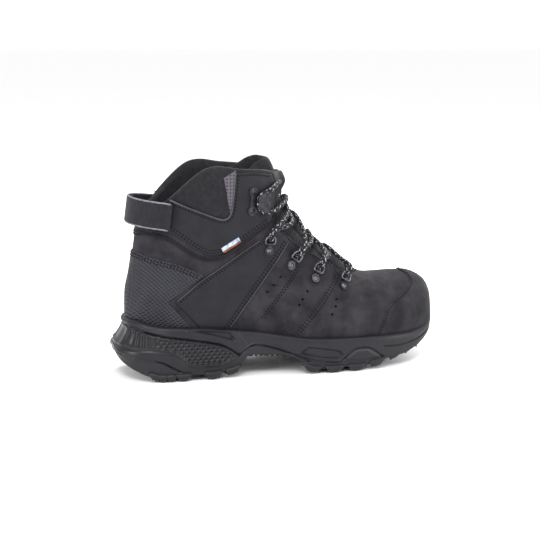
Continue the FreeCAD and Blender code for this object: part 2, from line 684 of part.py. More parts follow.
def add_bracket(label, placement):
    """A sheet bracket: a sleeve round the ring's bar, and a round plate for the rivet."""
    width, reach, wall = size("bracket_width"), size("bracket_reach"), size("bracket_wall")
    bore = size("wire_radius") + size("hinge_clearance")
    base = -bore - wall
    bore_size = "Sheet.wire_radius + Sheet.hinge_clearance"
    along_bar = ((0, 1, 0), 90)
    sleeve = cylinder(f"{label}_sleeve", f"{bore_size} + Sheet.bracket_wall", "Sheet.bracket_width",
                      turned(-width / 2, 0, 0, *along_bar))
    hole = cylinder(f"{label}_bore", bore_size, "Sheet.bracket_width + 2",
                    turned(-width / 2 - 1, 0, 0, *along_bar))
    disc = cylinder(f"{label}_disc", "Sheet.plate_radius", "Sheet.bracket_wall", turned(0, -reach, base))
    strap = doc.addObject("Part::Box", f"{label}_strap")
    strap.setExpression("Length", "Sheet.bracket_width")
    strap.setExpression("Width", "Sheet.bracket_reach")
    strap.setExpression("Height", "Sheet.bracket_wall")
    strap.Placement = turned(-width / 2, -reach, base)
    rivet_hole = cylinder(f"{label}_rivet_hole", "Sheet.rivet_shank_radius", "Sheet.bracket_wall + 2",
                          turned(0, -reach, base - 1))
    solid = doc.addObject("Part::MultiFuse", f"{label}_solid")
    solid.Shapes = [sleeve, disc, strap]
    holes = doc.addObject("Part::MultiFuse", f"{label}_holes")
    holes.Shapes = [hole, rivet_hole]
    bracket = doc.addObject("Part::Cut", label)
    bracket.Label = label
    bracket.Base, bracket.Tool = solid, holes
    bracket.Placement = placement
    parts.append(bracket)


def rivet(placement, top):
    """A domed rivet: its head rests on local height top, its shank fills the hole below it."""
    radius, height = size("rivet_head_radius"), size("rivet_head_height")
    dome_radius = (radius**2 + height**2) / (2 * height)
    dome = Part.makeSphere(dome_radius, Vector(0, 0, top + height - dome_radius))
    dome = dome.common(Part.makeCylinder(radius + 1, height + 1, Vector(0, 0, top)))
    shank = Part.makeCylinder(size("rivet_shank_radius") - 0.01, size("bracket_wall"),
                              Vector(0, 0, top - size("bracket_wall")))
    shape = dome.fuse(shank)
    shape.Placement = placement
    return shape


def eyelet_frame(index, side):
    """The place of an eyelet's bar: X along the bar, Y towards the tongue, Z outwards."""
    start, end = EYELETS[index]
    height = (size("overlay_outer") + size("hardware_lift") + size("wire_radius")
              + size("hinge_clearance") + size("bracket_wall"))
    return surface_frame(side, start, end, 0.62, height)


def hook_frame(side):
    """The place of a lace hook: X forwards, Y up, Z outwards, on the back of its plate."""
    return surface_frame(side, HOOK[0], HOOK[1], 0.5, size("overlay_outer") + size("hardware_lift"))


def add_hook(label, placement, forward):
    """A lace hook: a plate with two round ends, a neck in front of it and a broad wing."""
    wall, radius, spread = size("bracket_wall"), size("hook_plate_radius"), size("hook_spread")
    gap = size("hook_gap")
    pieces = [Part.makeCylinder(radius, wall, Vector(0, end * spread / 2, 0)) for end in (-1, 1)]
    pieces.append(Part.makeBox(5, spread, wall, Vector(-2.5, -spread / 2, 0)))
    pieces.append(Part.makeBox(8.3, 6, wall, Vector(0, -3, 0)))
    pieces.append(Part.makeBox(wall, 6, gap + 2 * wall, Vector(7.5, -3, 0)))
    wing_outline = [(2.5, -5.5), (9, -9.5), (14, -8.5), (14, 8.5), (9, 9.5), (2.5, 5.5), (2.5, -5.5)]
    wing = Part.Face(Part.makePolygon([Vector(x, y, gap + wall) for x, y in wing_outline]))
    pieces.append(wing.extrude(Vector(0, 0, wall)))
    hook = pieces[0].multiFuse(pieces[1:])
    holes = [Part.makeCylinder(size("rivet_shank_radius"), wall + 2, Vector(0, end * spread / 2, -1))
             for end in (-1, 1)]
    hook = hook.cut(holes).removeSplitter()
    if forward < 0:
        hook = hook.mirror(Vector(0, 0, 0), Vector(1, 0, 0))
    add_shape(label, hook).Placement = placement


def add_hardware():
    plate_top = -size("wire_radius") - size("hinge_clearance")
    eyelet_rivets, hook_rivets = [], []
    for name, side in SIDES.items():
        for index in range(len(EYELETS)):
            frame = eyelet_frame(index, side)
            lift = turned(0, 0, 0, (1, 0, 0), size("ring_lift"))
            add_ring(f"d_ring_{name}_{index + 1}", frame * lift)
            add_bracket(f"bracket_{name}_{index + 1}", frame)
            eyelet_rivets.append(rivet(frame * turned(0, -size("bracket_reach"), 0), plate_top))
        frame = hook_frame(side)
        add_hook(f"lace_hook_{name}", frame, -side)
        for end in (-1, 1):
            hook_rivets.append(rivet(frame * turned(0, end * size("hook_spread") / 2, 0),
                                     size("bracket_wall")))
    add_shape("eyelet_rivets", Part.makeCompound(eyelet_rivets))
    add_shape("hook_rivets", Part.makeCompound(hook_rivets))


add_hardware()

# ---------------------------------------------------------------------------------------------
# Pull loop and woven tag
# ---------------------------------------------------------------------------------------------
LOOP_PIVOT = (-109, 144)
LOOP_TILT = 13
# Plan of the loop's inner face on the outer side, (x, y), from its pivot to behind the heel.
LOOP_INNER = [(-2.5, -32.5), (-11, -30.6), (-21.5, -25), (-29.5, -14), (-32, 0)]


def loop_half(thickness):
    """The loop's band in plan, both sides, as points about its pivot, moved out by a thickness."""
    points = []
    for (x, y), share in zip(LOOP_INNER, (0, 0.12, 0.4, 0.8, 1)):
        angle = share * math.pi / 2
        points.append((x - thickness * math.sin(angle), y - thickness * math.cos(angle)))
    return points + [(x, -y) for x, y in reversed(points[:-1])]


def add_pull_loop():
    """A band bent round behind the heel, and the two sewn tabs that it grows out of."""
    width = size("loop_width")
    lines = [[Vector(x, y, -width / 2) for x, y in loop_half(t)] for t in (0, size("loop_thickness"))]
    curves = []
    for line in lines:
        curve = Part.BSplineCurve()
        curve.interpolate(line)
        curves.append(curve.toShape())
    ends = [Part.makeLine(lines[0][k], lines[1][k]) for k in (0, -1)]
    band = Part.Face(Part.Wire([curves[0], ends[1], curves[1], ends[0]])).extrude(Vector(0, 0, width))
    pivot = Vector(LOOP_PIVOT[0], 0, LOOP_PIVOT[1])
    add_shape("pull_loop", band).Placement = FreeCAD.Placement(
        pivot, FreeCAD.Rotation(Vector(0, 1, 0), LOOP_TILT))
    for name, side in SIDES.items():
        add_layer(f"loop_tab_{name}",
                  side_places(side, [(-107, 133), (-97, 131)], [(-104, 156), (-95, 153)], 8, 8),
                  size("overlay_outer") + 0.3, size("overlay_outer") + 1.6)


def add_tag():
    """A small folded label sewn into the seam below the collar, on the outer side."""
    add_layer("woven_tag", side_places(-1, [(-60, 112), (-44, 121)], [(-63, 121), (-47, 129)], 10, 8),
              size("overlay_outer") + 0.3, size("overlay_outer") + 1.1)


# ---------------------------------------------------------------------------------------------
# Lace
# ---------------------------------------------------------------------------------------------
# Where the lace crosses the front of the boot, (x, height), from the straight run at the bottom up.
CROSSINGS = [(71, 88), (44, 108.5), (27, 124), (12, 143), (5, 157), (2, 168)]
CROSSING_OVER, CROSSING_UNDER = 4.0, 0.1
# Round a ring's arc in the eyelet's local Y and Z, and round a hook's neck in its X, Y and Z.
ROUND_RING = [(12.5, 0.2), (3.7, -0.6), (3.7, 6.6), (12.5, 6.9)]
ROUND_HOOK = [(15, -11, 4.4), (4.3, -5.8, 3.4), (4.3, 5.8, 3.4), (15, 11, 5.0)]
# Down behind the collar's front edge, (x, height) and offset from the form.
TUCKED = [((-3, 161), 1.4), ((-13, 157), -6.2), ((-18, 147), -6.4), ((-17, 136), -6.0)]


def on_side_turn(place, side):
    """A place of the outer side, or its mirror image reached over the front."""
    return place if side < 0 else (place[0], 2 * math.pi - place[1])


def half_lace(side, crossing_offset):
    """The lace's points from the middle of its bottom run, by way of its first eyelet's side."""
    crossings = [(locate(x + 6, z)[0], math.pi) for x, z in CROSSINGS]
    points = [offset_point(*crossings[0], 0.4)]
    last = crossings[0]
    for step, index in enumerate((3, 2, 1, 0)):
        place = on_side_turn(locate(*EYELETS[index][1]), side)
        points.append(offset_point(*between(last, place, 0.5), 3.0))
        frame = eyelet_frame(index, side)
        points += [frame.multVec(Vector(0, y, z)) for y, z in ROUND_RING]
        last = crossings[step + 1]
        points.append(offset_point(*between(place, last, 0.55), 4.0))
        points.append(offset_point(*last, crossing_offset))
        side = -side
    place = on_side_turn(locate(-14, 152), side)
    points.append(offset_point(*between(last, place, 0.5), 5.0))
    frame = hook_frame(side)
    points += [frame.multVec(Vector(-side * x, y, z)) for x, y, z in ROUND_HOOK]
    points.append(offset_point(*on_side_turn(locate(-6, 173), side), 3.2))
    points.append(offset_point(*crossings[5], crossing_offset))
    for (x, z), offset in TUCKED:
        points.append(offset_point(*on_side_turn(locate(x, z), -side), offset))
    return points


def rounded_wire(points):
    """Straight runs joined by tangent arcs. Returns the wire, the arcs' radii and the length."""
    runs = [b - a for a, b in zip(points, points[1:])]
    edges, radii, start, length = [], [], points[0], 0.0
    for corner, before, after in zip(points[1:], runs, runs[1:]):
        turn = before.getAngle(after)
        cut = 0.45 * min(before.Length, after.Length)
        radius = cut / math.tan(turn / 2)
        unit_in, unit_out = before / before.Length, after / after.Length
        arc_start, arc_end = corner - unit_in * cut, corner + unit_out * cut
        towards = (unit_out - unit_in).normalize()
        centre = corner + towards * math.hypot(radius, cut)
        middle = centre - towards * radius
        edges.append(Part.LineSegment(start, arc_start).toShape())
        edges.append(Part.Arc(arc_start, middle, arc_end).toShape())
        length += (arc_start - start).Length + radius * turn
        radii.append(radius)
        start = arc_end
    edges.append(Part.LineSegment(start, points[-1]).toShape())
    return Part.Wire(edges), radii, length + (points[-1] - start).Length


def tube(points, diameter):
    wire, radii, length = rounded_wire(points)
    direction = points[1] - points[0]
    section = Part.Wire(Part.makeCircle(diameter / 2, points[0], direction))
    shape = wire.makePipeShell([section], True, False)
    expected = math.pi * diameter**2 / 4 * length
    print(f"lace: {length:.0f} mm, volume over section times length {shape.Volume / expected:.4f}")
    print("lace radii:", " ".join(f"{radius:.1f}" for radius in radii))
    return shape


def add_lace():
    over, under = half_lace(-1, CROSSING_OVER), half_lace(1, CROSSING_UNDER)
    points = list(reversed(over)) + under[1:]
    add_shape("lace", tube(points, size("lace_diameter")))
    tips = []
    for line in (over, under):
        direction = (line[-1] - line[-2]).normalize()
        tips.append(Part.makeCylinder(size("lace_diameter") / 2 - 0.2, size("aglet_length"),
                                      line[-1], direction))
    add_shape("aglets", Part.makeCompound(tips))
    return points


add_pull_loop()
add_tag()
add_lace()


# ---------------------------------------------------------------------------------------------
# Checks and export
# ---------------------------------------------------------------------------------------------
def check_and_export():
    doc.recompute()
    for item in doc.Objects:
        if "Invalid" in item.State or "Error" in item.State:
            raise SystemExit(f"{item.Name} failed: {item.State}")
    for part in parts:
        shape = part.Shape
        if shape.isNull() or not shape.isValid() or shape.Volume <= 0:
            raise SystemExit(f"{part.Label} has no valid solid")
        print(f"{part.Label}: {len(shape.Solids)} solid(s), {shape.Volume:.1f} mm3")
    os.makedirs("parts", exist_ok=True)
    for part in parts:
        part.Shape.exportStep(f"parts/{part.Label}.step")


check_and_export()
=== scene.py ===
import math
from collections import namedtuple
import bpy
import numpy as np
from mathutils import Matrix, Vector, kdtree
from mathutils.geometry import delaunay_2d_cdt


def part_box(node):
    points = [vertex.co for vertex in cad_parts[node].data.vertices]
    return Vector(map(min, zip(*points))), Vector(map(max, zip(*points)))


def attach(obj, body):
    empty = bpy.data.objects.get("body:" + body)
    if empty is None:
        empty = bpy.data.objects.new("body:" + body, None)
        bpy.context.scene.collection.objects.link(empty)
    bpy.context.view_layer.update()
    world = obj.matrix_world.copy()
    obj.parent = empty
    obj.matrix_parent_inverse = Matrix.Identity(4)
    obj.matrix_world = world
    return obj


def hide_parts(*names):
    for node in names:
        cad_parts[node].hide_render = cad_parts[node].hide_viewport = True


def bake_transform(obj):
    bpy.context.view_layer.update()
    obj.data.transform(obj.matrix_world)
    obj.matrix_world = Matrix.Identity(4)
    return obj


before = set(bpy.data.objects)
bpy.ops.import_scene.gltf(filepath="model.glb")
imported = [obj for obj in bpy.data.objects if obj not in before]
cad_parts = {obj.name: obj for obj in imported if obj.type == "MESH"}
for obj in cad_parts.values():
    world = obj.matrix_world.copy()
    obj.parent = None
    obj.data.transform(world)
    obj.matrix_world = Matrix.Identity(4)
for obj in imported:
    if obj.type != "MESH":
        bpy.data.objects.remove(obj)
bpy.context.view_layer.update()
MM = 0.001
SIDES = {"lateral": -1, "medial": 1}


# ---------------------------------------------------------------------------------------------
# The upper's form, as the CAD model has it: rings round the foot and turns round each ring
# ---------------------------------------------------------------------------------------------
class Curve:
    """A smooth curve y(x) through points, which never overshoots between them."""

    def __init__(self, points):
        points = sorted(points)
        self.x = np.array([p[0] for p in points], float)
        self.y = np.array([p[1] for p in points], float)
        steps, rises = np.diff(self.x), np.diff(self.y) / np.diff(self.x)
        slope = np.zeros(len(points))
        slope[0], slope[-1] = rises[0], rises[-1]
        for i in range(1, len(points) - 1):
            if rises[i - 1] * rises[i] > 0:
                before, after = 2 * steps[i] + steps[i - 1], steps[i] + 2 * steps[i - 1]
                slope[i] = (before + after) / (before / rises[i - 1] + after / rises[i])
        self.slope = slope

    def __call__(self, x):
        x = np.clip(np.asarray(x, float), self.x[0], self.x[-1])
        i = np.clip(np.searchsorted(self.x, x, side="right") - 1, 0, len(self.x) - 2)
        step = self.x[i + 1] - self.x[i]
        u = (x - self.x[i]) / step
        return (self.y[i] * (2 * u**3 - 3 * u**2 + 1) + self.y[i + 1] * (3 * u**2 - 2 * u**3)
                + step * (self.slope[i] * (u**3 - 2 * u**2 + u)
                          + self.slope[i + 1] * (u**3 - u**2)))


BACK = Curve([(30, -138), (38, -139.5), (55, -141.5), (75, -141), (95, -137), (115, -133.5),
              (134, -130.5), (152, -128), (200, -125)])
RIDGE = [(147.8, 30), (149.2, 37), (150.6, 46), (151.8, 58), (149, 67.5), (141.5, 75), (129, 80.2),
         (116, 81.6), (103, 80.8), (91, 80.8), (80, 83), (69, 88.5), (55, 99), (40, 111.5),
         (26, 124.5), (15, 138), (8, 149.5), (3, 160), (-1, 172), (-5, 186), (-9, 203)]
RIDGE_X = Curve([(i, p[0]) for i, p in enumerate(RIDGE)])
RIDGE_Z = Curve([(i, p[1]) for i, p in enumerate(RIDGE)])
RIDGE_TOP = Curve(RIDGE[3:])
RING_FRONT = Curve(list(enumerate([0.0, 1.9, 3.9, 6.2, 9.0, 11.0, 13.0, 15.0, 17.0, 20.0])))
RING_BACK = Curve(list(enumerate([38, 54, 71, 88, 104, 118, 132, 148, 166, 200])))
RING_SAG = Curve(list(enumerate([7, 3.5, 6, 8, 7, 4, 1.5, 0, 0, 0])))
LAST_RING = 9
LATERAL = Curve([(-142, 22), (-130, 29), (-110, 33), (-60, 36), (-20, 40), (20, 46), (50, 49.3),
                 (75, 49.3), (100, 46.5), (120, 41), (134, 34), (144, 25), (151, 13)])
MEDIAL = Curve([(-142, 22), (-130, 29), (-110, 33), (-60, 34.5), (-20, 37), (20, 42), (50, 47.3),
                (75, 49.3), (100, 48), (120, 44), (135, 37), (145, 27), (151, 16)])
SHAFT = Curve([(30, 33), (50, 35), (80, 35.5), (105, 36), (125, 37), (150, 38.5), (175, 40.5),
               (203, 41)])
SHAFT_FRONT = Curve([(30, 20), (60, 24), (90, 34), (111.5, 41), (124.5, 28), (138, 17), (149.5, 10),
                     (160, 4.5), (172, 0.5), (186, -4), (203, -8.5)])


def half_width(x, z, half_foot):
    top = np.where(x < -9, 203 - (x + 9) * 6, RIDGE_TOP(x))
    rise = np.clip((z - 25) / np.maximum(top - 25, 1e-6), 0, 1)
    fade = np.clip((x + 110) / 110, 0, 1)
    low = 1 - 0.05 * np.clip((48 - z) / 20, 0, 1) ** 2
    foot = half_foot(x) * (1 - rise**2.6) ** 0.62 * fade * fade * (3 - 2 * fade) * low
    back, front = BACK(z), SHAFT_FRONT(z)
    along = np.clip((x - back) / (front - back), 0, 1)
    shaft = SHAFT(z) * np.clip(1 - np.abs(1 - 2 * along) ** 2.5, 0, 1) ** 0.5 * low
    return (foot**6 + shaft**6) ** (1 / 6)


def side_point(ring, turn):
    """Side-view x and z of the form, where turn runs from 0 at the heel to pi at the front."""
    front, heel_height = RING_FRONT(ring), RING_BACK(ring)
    x_front, z_front, x_back = RIDGE_X(front), RIDGE_Z(front), BACK(heel_height)
    along = (1 - np.cos(turn)) / 2
    sag = RING_SAG(ring) * np.sin(math.pi * along * along)
    return x_back + along * (x_front - x_back), heel_height + along * (z_front - heel_height) - sag


RING_STEPS, TURN_STEPS, SMOOTHING = 72, 48, 6


def smooth_widths(half_foot):
    rings = np.linspace(0, LAST_RING, RING_STEPS + 1)[:, None]
    turns = np.linspace(0, math.pi, TURN_STEPS + 1)[None, :]
    grid = half_width(*side_point(rings, turns), half_foot)
    grid[:, 0] = grid[:, -1] = 0
    for _ in range(SMOOTHING):
        wide = np.concatenate([-grid[:, 1:2], grid, -grid[:, -2:-1]], 1)
        grid = (wide[:, :-2] + 2 * wide[:, 1:-1] + wide[:, 2:]) / 4
        grid[:, 0] = grid[:, -1] = 0
        tall = np.concatenate([2 * grid[:1] - grid[1:2], grid, 2 * grid[-1:] - grid[-2:-1]], 0)
        grid = (tall[:-2] + 2 * tall[1:-1] + tall[2:]) / 4
    return grid


WIDTHS = {-1: smooth_widths(LATERAL), 1: smooth_widths(MEDIAL)}


def cubic(p0, p1, p2, p3, u):
    return p1 + 0.5 * u * (p2 - p0 + u * (2 * p0 - 5 * p1 + 4 * p2 - p3
                                          + u * (3 * (p1 - p2) + p3 - p0)))


def grid_width(side, ring, turn):
    grid = WIDTHS[side]
    ring_place = np.clip(ring / LAST_RING * RING_STEPS, 0, RING_STEPS - 1e-9)
    turn_place = np.clip(turn / math.pi * TURN_STEPS, 0, TURN_STEPS - 1e-9)
    i, j = ring_place.astype(int), turn_place.astype(int)

    def width(row, column):
        row = np.clip(row, 0, RING_STEPS)
        sign = np.where((column < 0) | (column > TURN_STEPS), -1, 1)
        column = np.abs(column)
        column = np.where(column > TURN_STEPS, 2 * TURN_STEPS - column, column)
        return sign * grid[row, column]

    rows = [cubic(*[width(i + r, j + k) for k in (-1, 0, 1, 2)], turn_place - j)
            for r in (-1, 0, 1, 2)]
    return cubic(*rows, ring_place - i)


def form_point(ring, turn):
    """Points of the form, n by 3. Turns below 0 and above pi are on the inner side."""
    ring, turn = np.broadcast_arrays(np.asarray(ring, float), np.asarray(turn, float))
    inner = (turn < 0) | (turn > math.pi)
    folded = np.where(turn < 0, -turn, np.where(turn > math.pi, 2 * math.pi - turn, turn))
    x, z = side_point(ring, folded)
    y = np.where(inner, grid_width(1, ring, folded), -grid_width(-1, ring, folded))
    return np.stack([x, y, z], -1)


def unit(v):
    return v / np.maximum(np.linalg.norm(v, axis=-1, keepdims=True), 1e-12)


def form_normal(ring, turn):
    step = 0.02
    ring = np.clip(ring, step, LAST_RING - step)
    up = form_point(ring + step, turn) - form_point(ring - step, turn)
    forward = form_point(ring, turn + step) - form_point(ring, turn - step)
    return unit(np.cross(forward, up))


def offset_point(ring, turn, offset):
    return form_point(ring, turn) + form_normal(ring, turn) * np.asarray(offset)[..., None]


def locate(x, z):
    """Ring and turn of side-view points on the outer side."""
    x, z = np.asarray(x, float), np.asarray(z, float)
    low, high = np.zeros(x.shape), np.full(x.shape, float(LAST_RING))
    for _ in range(34):
        ring = (low + high) / 2
        x_back, x_front = BACK(RING_BACK(ring)), RIDGE_X(RING_FRONT(ring))
        along = np.clip((x - x_back) / (x_front - x_back), 0, 1)
        turn = np.arccos(1 - 2 * along)
        below = side_point(ring, turn)[1] < z
        low, high = np.where(below, ring, low), np.where(below, high, ring)
    return ring, turn


# ---------------------------------------------------------------------------------------------
# Mesh helpers. Lengths are in millimetres until a mesh is made.
# ---------------------------------------------------------------------------------------------
def add_mesh(name, verts, faces, material, body="root", replaced=(), slot=None):
    """A smooth-shaded piece, from points in millimetres."""
    mesh = bpy.data.meshes.new(name)
    mesh.from_pydata([tuple(v) for v in np.asarray(verts) * MM], [], [tuple(f) for f in faces])
    mesh.validate()
    mesh.materials.append(material)
    mesh.polygons.foreach_set("use_smooth", [True] * len(mesh.polygons))
    mesh.update()
    piece = bpy.data.objects.new(name, mesh)
    bpy.context.scene.collection.objects.link(piece)
    if body:
        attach(piece, body)
    if replaced:
        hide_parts(*replaced)
    return piece


def grid_faces(rows, columns, start=0, closed=False, flip=False):
    faces = []
    for r in range(rows - 1):
        for c in range(columns if closed else columns - 1):
            d = (c + 1) % columns
            face = [start + r * columns + c, start + r * columns + d,
                    start + (r + 1) * columns + d, start + (r + 1) * columns + c]
            faces.append(face[::-1] if flip else face)
    return faces


def tube_faces(rows, columns, start=0):
    """Faces of a tube of rings of points, with flat ends."""
    last = start + (rows - 1) * columns
    ends = [list(range(start, start + columns))[::-1], list(range(last, last + columns))]
    return grid_faces(rows, columns, start, closed=True) + ends


def two_skins(rows, columns, flip=False):
    """Faces of a closed skin over two grids of points, one after the other."""
    count = rows * columns
    rim = (list(range(columns)) + [r * columns + columns - 1 for r in range(1, rows)]
           + [(rows - 1) * columns + c for c in range(columns - 2, -1, -1)]
           + [r * columns for r in range(rows - 2, 0, -1)])
    faces = grid_faces(rows, columns, flip=flip) + grid_faces(rows, columns, count, flip=not flip)
    for a, b in zip(rim, rim[1:] + rim[:1]):
        faces.append([a, b, b + count, a + count] if flip else [b, a, a + count, b + count])
    return faces


def used_only(points, faces):
    """The points that faces use, the faces renumbered, and the numbers that were kept."""
    used = np.unique(faces)
    number = np.full(len(points), -1)
    number[used] = np.arange(len(used))
    return points[used], number[faces], used


def joined(groups):
    """One list of points and one of faces, from several pairs of them."""
    verts, faces, start = [], [], 0
    for more_verts, more_faces in groups:
        faces += [[v + start for v in f] for f in more_faces]
        verts.append(more_verts)
        start += len(more_verts)
    return np.concatenate(verts), faces


def closed_line(points):
    return np.concatenate([points, points[:1]])


def loop_tangent(points):
    return np.roll(points, -1, axis=0) - np.roll(points, 1, axis=0)


def catmull(points, per_span=14, closed=False):
    """A smooth line through points."""
    points = np.asarray(points, float)
    if len(points) < 3 and not closed:
        t = np.linspace(0, 1, per_span * 2)[:, None]
        return points[0] + (points[-1] - points[0]) * t
    if closed:
        p = np.concatenate([points[-1:], points, points[:2]])
    else:
        p = np.concatenate([2 * points[:1] - points[1:2], points, 2 * points[-1:] - points[-2:-1]])
    out = []
    for i in range(1, len(p) - 2):
        t = np.linspace(0, 1, per_span, endpoint=False)[:, None]
        out.append(cubic(p[i - 1], p[i], p[i + 1], p[i + 2], t))
    if not closed:
        out.append(points[-1:])
    return np.concatenate(out)


def running_length(points):
    return np.concatenate([[0], np.cumsum(np.linalg.norm(np.diff(points, axis=0), axis=1))])


def resample(points, step, along=None):
    """A line at even steps, measured on itself or on another line that goes along it."""
    points = np.asarray(points, float)
    lengths = running_length(points if along is None else along)
    count = max(2, int(round(lengths[-1] / step)) + 1)
    places = np.linspace(0, lengths[-1], count)
    return np.stack([np.interp(places, lengths, points[:, k]) for k in range(points.shape[1])], 1)


def inside_polygon(points, polygon):
    x, y = points[:, 0], points[:, 1]
    inside = np.zeros(len(points), bool)
    for (x0, y0), (x1, y1) in zip(polygon, np.roll(polygon, -1, axis=0)):
        crosses = (y0 > y) != (y1 > y)
        if y1 != y0:
            inside ^= crosses & (x < (x1 - x0) * (y - y0) / (y1 - y0) + x0)
    return inside


def line_distance(points, line):
    """Distance from 2-D points to a line of points."""
    best = np.full(len(points), 1e9)
    for a, b in zip(line[:-1], line[1:]):
        ab = b - a
        t = np.clip(((points - a) @ ab) / max(ab @ ab, 1e-12), 0, 1)
        best = np.minimum(best, np.linalg.norm(points - (a + t[:, None] * ab), axis=1))
    return best


def smoothstep(edge0, edge1, value):
    t = np.clip((value - edge0) / (edge1 - edge0), 0, 1)
    return t * t * (3 - 2 * t)


# ---------------------------------------------------------------------------------------------
# Panels of leather: outlines drawn on the form, filled, with rolled edges and holes
# ---------------------------------------------------------------------------------------------
U_SCALE, V_SCALE = 46.0, 16.5   # turn and ring to roughly millimetres
HOLE_SIDES, HOLE_RADIUS = 12, 0.85
SEAM_DEPTH, SEAM_WIDTH, SEAM_ROWS = 0.06, 0.42, (-0.55, 0, 0.55)
Panel = namedtuple("Panel", "places owner direction top")   # what stitches need later


def ring_turn(points, side=-1):
    """Side-view points as (ring, turn) on a side."""
    points = np.asarray(points, float)
    ring, turn = locate(points[:, 0], points[:, 1])
    return np.stack([ring, turn if side < 0 else -turn], 1)


def surface(places, offset=0.0):
    return offset_point(places[:, 0], places[:, 1], np.broadcast_to(offset, len(places)))


def trace(segments, side=-1, over=None, step=1.35):
    """An outline from side-view segments, each smooth, with corners between them. over = "front"
    or "heel" mirrors an open line that starts and ends on that middle. Returns places and the
    number of the segment that each belongs to."""
    places, owner = [], []
    for number, segment in enumerate(segments):
        line = ring_turn(catmull(segment), side)
        line = resample(line, step, surface(line))
        places.append(line[:-1])
        owner += [number] * (len(line) - 1)
        end = line[-1:]
    if over:
        places.append(end)
        owner.append(len(segments) - 1)
        half, owner = np.concatenate(places), np.array(owner)
        middle = math.pi if over == "front" else 0.0
        half[0, 1] = half[-1, 1] = middle
        mirrored = half[::-1].copy()
        mirrored[:, 1] = 2 * middle - mirrored[:, 1]
        both = np.concatenate([owner[:-1], owner[::-1][:-1]])
        return np.concatenate([half[:-1], mirrored[:-1]]), both
    return np.concatenate(places), np.array(owner)


def moved(places, shift3d):
    """Places moved along the form by vectors that lie on it."""
    h = 1e-3
    base = form_point(places[:, 0], places[:, 1])
    du = (form_point(np.clip(places[:, 0] + h, 0, LAST_RING), places[:, 1]) - base) / h
    dv = (form_point(places[:, 0], places[:, 1] + h) - base) / h
    a, b, c = (du * du).sum(1), (du * dv).sum(1), (dv * dv).sum(1)
    p, q = (du * shift3d).sum(1), (dv * shift3d).sum(1)
    det = np.maximum(a * c - b * b, 1e-9)
    delta = np.stack([(p * c - q * b) / det, (a * q - b * p) / det], 1)
    result = places + delta
    result[:, 0] = np.clip(result[:, 0], 0.0, LAST_RING)
    return result


def inward(places):
    """Unit vectors on the form that point into a closed outline."""
    normal = form_normal(places[:, 0], places[:, 1])
    across = unit(np.cross(normal, loop_tangent(surface(places))))
    u, v = places[:, 1] * U_SCALE, places[:, 0] * V_SCALE
    area = (u * np.roll(v, -1) - np.roll(u, -1) * v).sum()
    return across if area > 0 else -across


def inset(places, distance, direction):
    """An outline moved by a distance, in steps of a millimetre or less."""
    steps = max(1, int(math.ceil(distance)))
    for _ in range(steps):
        places = moved(places, direction * (distance / steps))
    return places


def flat(places):
    return np.stack([places[:, 1] * U_SCALE, places[:, 0] * V_SCALE], 1)


